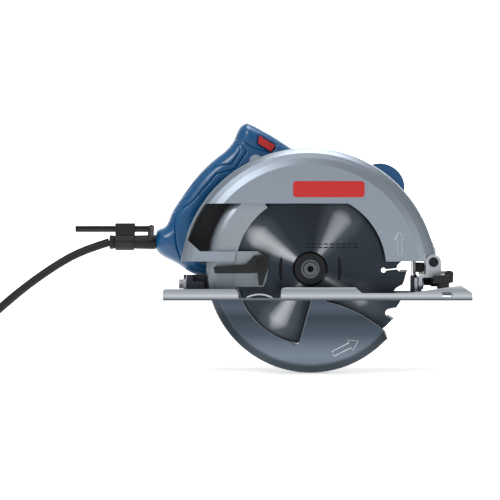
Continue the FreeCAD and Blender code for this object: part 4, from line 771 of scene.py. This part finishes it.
def guard_bead():
    """Rolled rim along the lower guard's cut-out, down its inner arc and round its front lobe."""
    flat = [polar(0, SPINDLE_Z, LOWER_INNER_R + 0.5, 176 + 2 * k) for k in range(40)]
    flat += [(-16.0, -42.4), (-12.6, -41.6), (-10.2, -39.2), (-9.0, -35.5), (2.4, 5.0), (15.5, -1.9),
             (28.0, -5.2), (40.0, -10.1), (49.0, -14.6), (57.0, -19.9), (64.5, -24.9), (69.6, -29.8),
             (72.0, -36.6)]
    line = []
    for a, b in zip(flat, flat[1:]):
        count = max(1, round(math.dist(a, b) / 2.0))
        line += [place(a[0] + (b[0] - a[0]) * k / count, LOWER_FACE_Y, a[1] + (b[1] - a[1]) * k / count)
                 for k in range(count)]
    piece("guard_bead", *tube(line, 0.75 * MM), LOOKS["mid_steel"], "guard", "guard_silver")


def chamfered_block(x0, x1, y0, y1, z0, z1, cut):
    """A block with all its edges cut back."""
    levels = [(y0, cut), (y0 + cut, 0.0), (y1 - cut, 0.0), (y1, cut)]
    vertices = []
    for y, drawn in levels:
        ax, bx, az, bz = x0 + drawn, x1 - drawn, z0 + drawn, z1 - drawn
        ring = [(ax + cut, az), (bx - cut, az), (bx, az + cut), (bx, bz - cut),
                (bx - cut, bz), (ax + cut, bz), (ax, bz - cut), (ax, az + cut)]
        vertices += [place(x, y, z) for x, z in ring]
    return vertices, ring_faces(len(levels), len(ring)) + end_faces(len(levels), len(ring))


def bracket_trim():
    """Dark ribbed block of painted shade behind the depth pivot, where the bracket lies in shadow, and dark
    upright beside the bevel pivot.
    """
    shade_block = chamfered_block(98.9, 107.4, -10.0, 10.0, 26.0, 35.2, 1.0)
    ribs = [chamfered_block(100.2 + 2.6 * n, 101.5 + 2.6 * n, -10.7, -9.6, 27.4, 33.8, 0.3) for n in range(3)]
    piece("bracket_shade_block", *joined([shade_block] + ribs), LOOKS["black_rubber"], "carriage", "black_rubber")
    upright = chamfered_block(94.3, 98.3, -9.0, -4.4, 4.6, 23.0, 0.7)
    piece("bracket_upright", *upright, LOOKS["bracket_steel"], "base", "bracket_steel")


def oval_band(y0, y1, grow, steps=48):
    """A ribbed band round the front grip's leaning oval, proud of it by grow."""
    sections = [(y0, -0.4), (y0 + 0.5, grow), (y1 - 0.5, grow), (y1, -0.4)]
    vertices = []
    for y, out in sections:
        for k in range(steps):
            angle = math.tau * k / steps
            along, across = (GRIP_LONG + out) * math.cos(angle), (GRIP_WIDE + out) * math.sin(angle)
            x, z = polar(GRIP_X, GRIP_Z, math.hypot(along, across),
                         math.degrees(math.atan2(across, along)) - GRIP_LEAN)
            vertices.append(place(x, y, z))
    return vertices, ring_faces(len(sections), steps)


def grip_and_motor_trim():
    """Rubber bands round the front grip and the dark seam between the motor housing and its end cap."""
    bands = [oval_band(50.0 + 6.5 * n, 53.6 + 6.5 * n, 0.7) for n in range(7)]
    piece("grip_bands", *joined(bands), LOOKS["black_rubber"], "saw", "black_rubber", smooth_deg=40)
    seam = [(MOTOR_R - 0.5, MOTOR_Y1 - 0.5), (MOTOR_R + 0.12, MOTOR_Y1 - 0.4),
            (MOTOR_R + 0.12, MOTOR_Y1 + 0.4), (MOTOR_R - 0.5, MOTOR_Y1 + 0.5)]
    piece("motor_seam", *turned(seam, 0, MOTOR_Z, 0, 360, 96), PRINT_AND_SHADE, "saw", "blue_plastic")


def blade_marks():
    """Plain printed marks on the blade: two arcs beside the flange and rows of dashes."""
    y0, y1, edge = -BLADE_HALF - 0.06, -BLADE_HALF + 0.1, 0.03
    shapes = []
    for middle in (0, 180):
        outer = [polar(0, SPINDLE_Z, 29.8, middle + a) for a in range(-23, 24, 2)]
        inner = [polar(0, SPINDLE_Z, 26.4 + 1.8 * (a / 21) ** 2, middle + a) for a in range(21, -22, -2)]
        shapes.append(slab(outer + inner, y0, y1, edge))
    for row in range(2):
        for n in range(9):
            x, z = -4.0 + 5.6 * n, 52.0 - 3.2 * row
            outline = [(x, z), (x + 4.2, z), (x + 4.2, z + 1.1), (x, z + 1.1)]
            shapes.append(slab(outline, y0, y1, edge))
    piece("blade_print", *joined(shapes), PRINT_AND_SHADE, "spindle", "blade_steel", smooth_deg=0)


def socket_shade():
    """Painted shade: a dark plate at the bottom of the blade bolt's hex socket."""
    outline = [polar(0, SPINDLE_Z, 3.3, 30 + 60 * n) for n in range(6)]
    floor = slab(outline, SOCKET_Y - 0.25, SOCKET_Y + 0.05, 0.05)
    piece("socket_painted_shade", *floor, PRINT_AND_SHADE, "spindle", "dark_steel", smooth_deg=0)


shade_guard_inside()
raised_bar()
guard_arrows()
guard_bead()
bracket_trim()
grip_and_motor_trim()
blade_marks()
socket_shade()


# ---- floor, backdrop and light ----
def plane(name, corners, colour, emission):
    """A flat backdrop piece, in metres, that isn't part of the saw."""
    mesh = bpy.data.meshes.new(name)
    mesh.from_pydata(corners, [], [(0, 1, 2, 3)])
    material, _, shader = new_material(name + "_look", colour, 0.9, specular=0.1)
    shader.inputs["Emission Color"].default_value = (1, 1, 1, 1)
    shader.inputs["Emission Strength"].default_value = emission
    mesh.materials.append(material)
    item = bpy.data.objects.new(name, mesh)
    bpy.context.scene.collection.objects.link(item)


LIT_POINT = place(-20, 20, 45)


def area_light(name, location, size, power):
    """A square lamp in metres and watts, aimed at the middle of the saw."""
    data = bpy.data.lights.new(name, "AREA")
    data.shape = "RECTANGLE"
    data.size = size
    data.size_y = size
    data.energy = power
    light = bpy.data.objects.new(name, data)
    light.location = location
    light.rotation_euler = (LIT_POINT - Vector(location)).to_track_quat("-Z", "Y").to_euler()
    bpy.context.scene.collection.objects.link(light)


FLOOR = FLOOR_Z * MM - 0.0005
PALE = (0.92, 0.92, 0.92)
plane("floor", [(-8, -8, FLOOR), (8, -8, FLOOR), (8, 8, FLOOR), (-8, 8, FLOOR)], PALE, 0.5)
plane("backdrop", [(-3, 4, FLOOR), (3, 4, FLOOR), (3, 4, 3), (-3, 4, 3)], PALE, 1.0)
area_light("key", (-0.9, -1.5, 1.3), 0.6, 16)
area_light("fill", (1.5, -1.8, 0.3), 0.8, 3)
area_light("top", (0.1, 0.1, 1.6), 0.9, 19)
area_light("back", (0.6, 1.8, 1.0), 1.2, 10)

world = bpy.data.worlds.new("studio")
world.use_nodes = True
world.node_tree.nodes["Background"].inputs["Color"].default_value = (1, 1, 1, 1)
world.node_tree.nodes["Background"].inputs["Strength"].default_value = 0.4
bpy.context.scene.world = world
bpy.context.scene.view_settings.view_transform = "Standard"
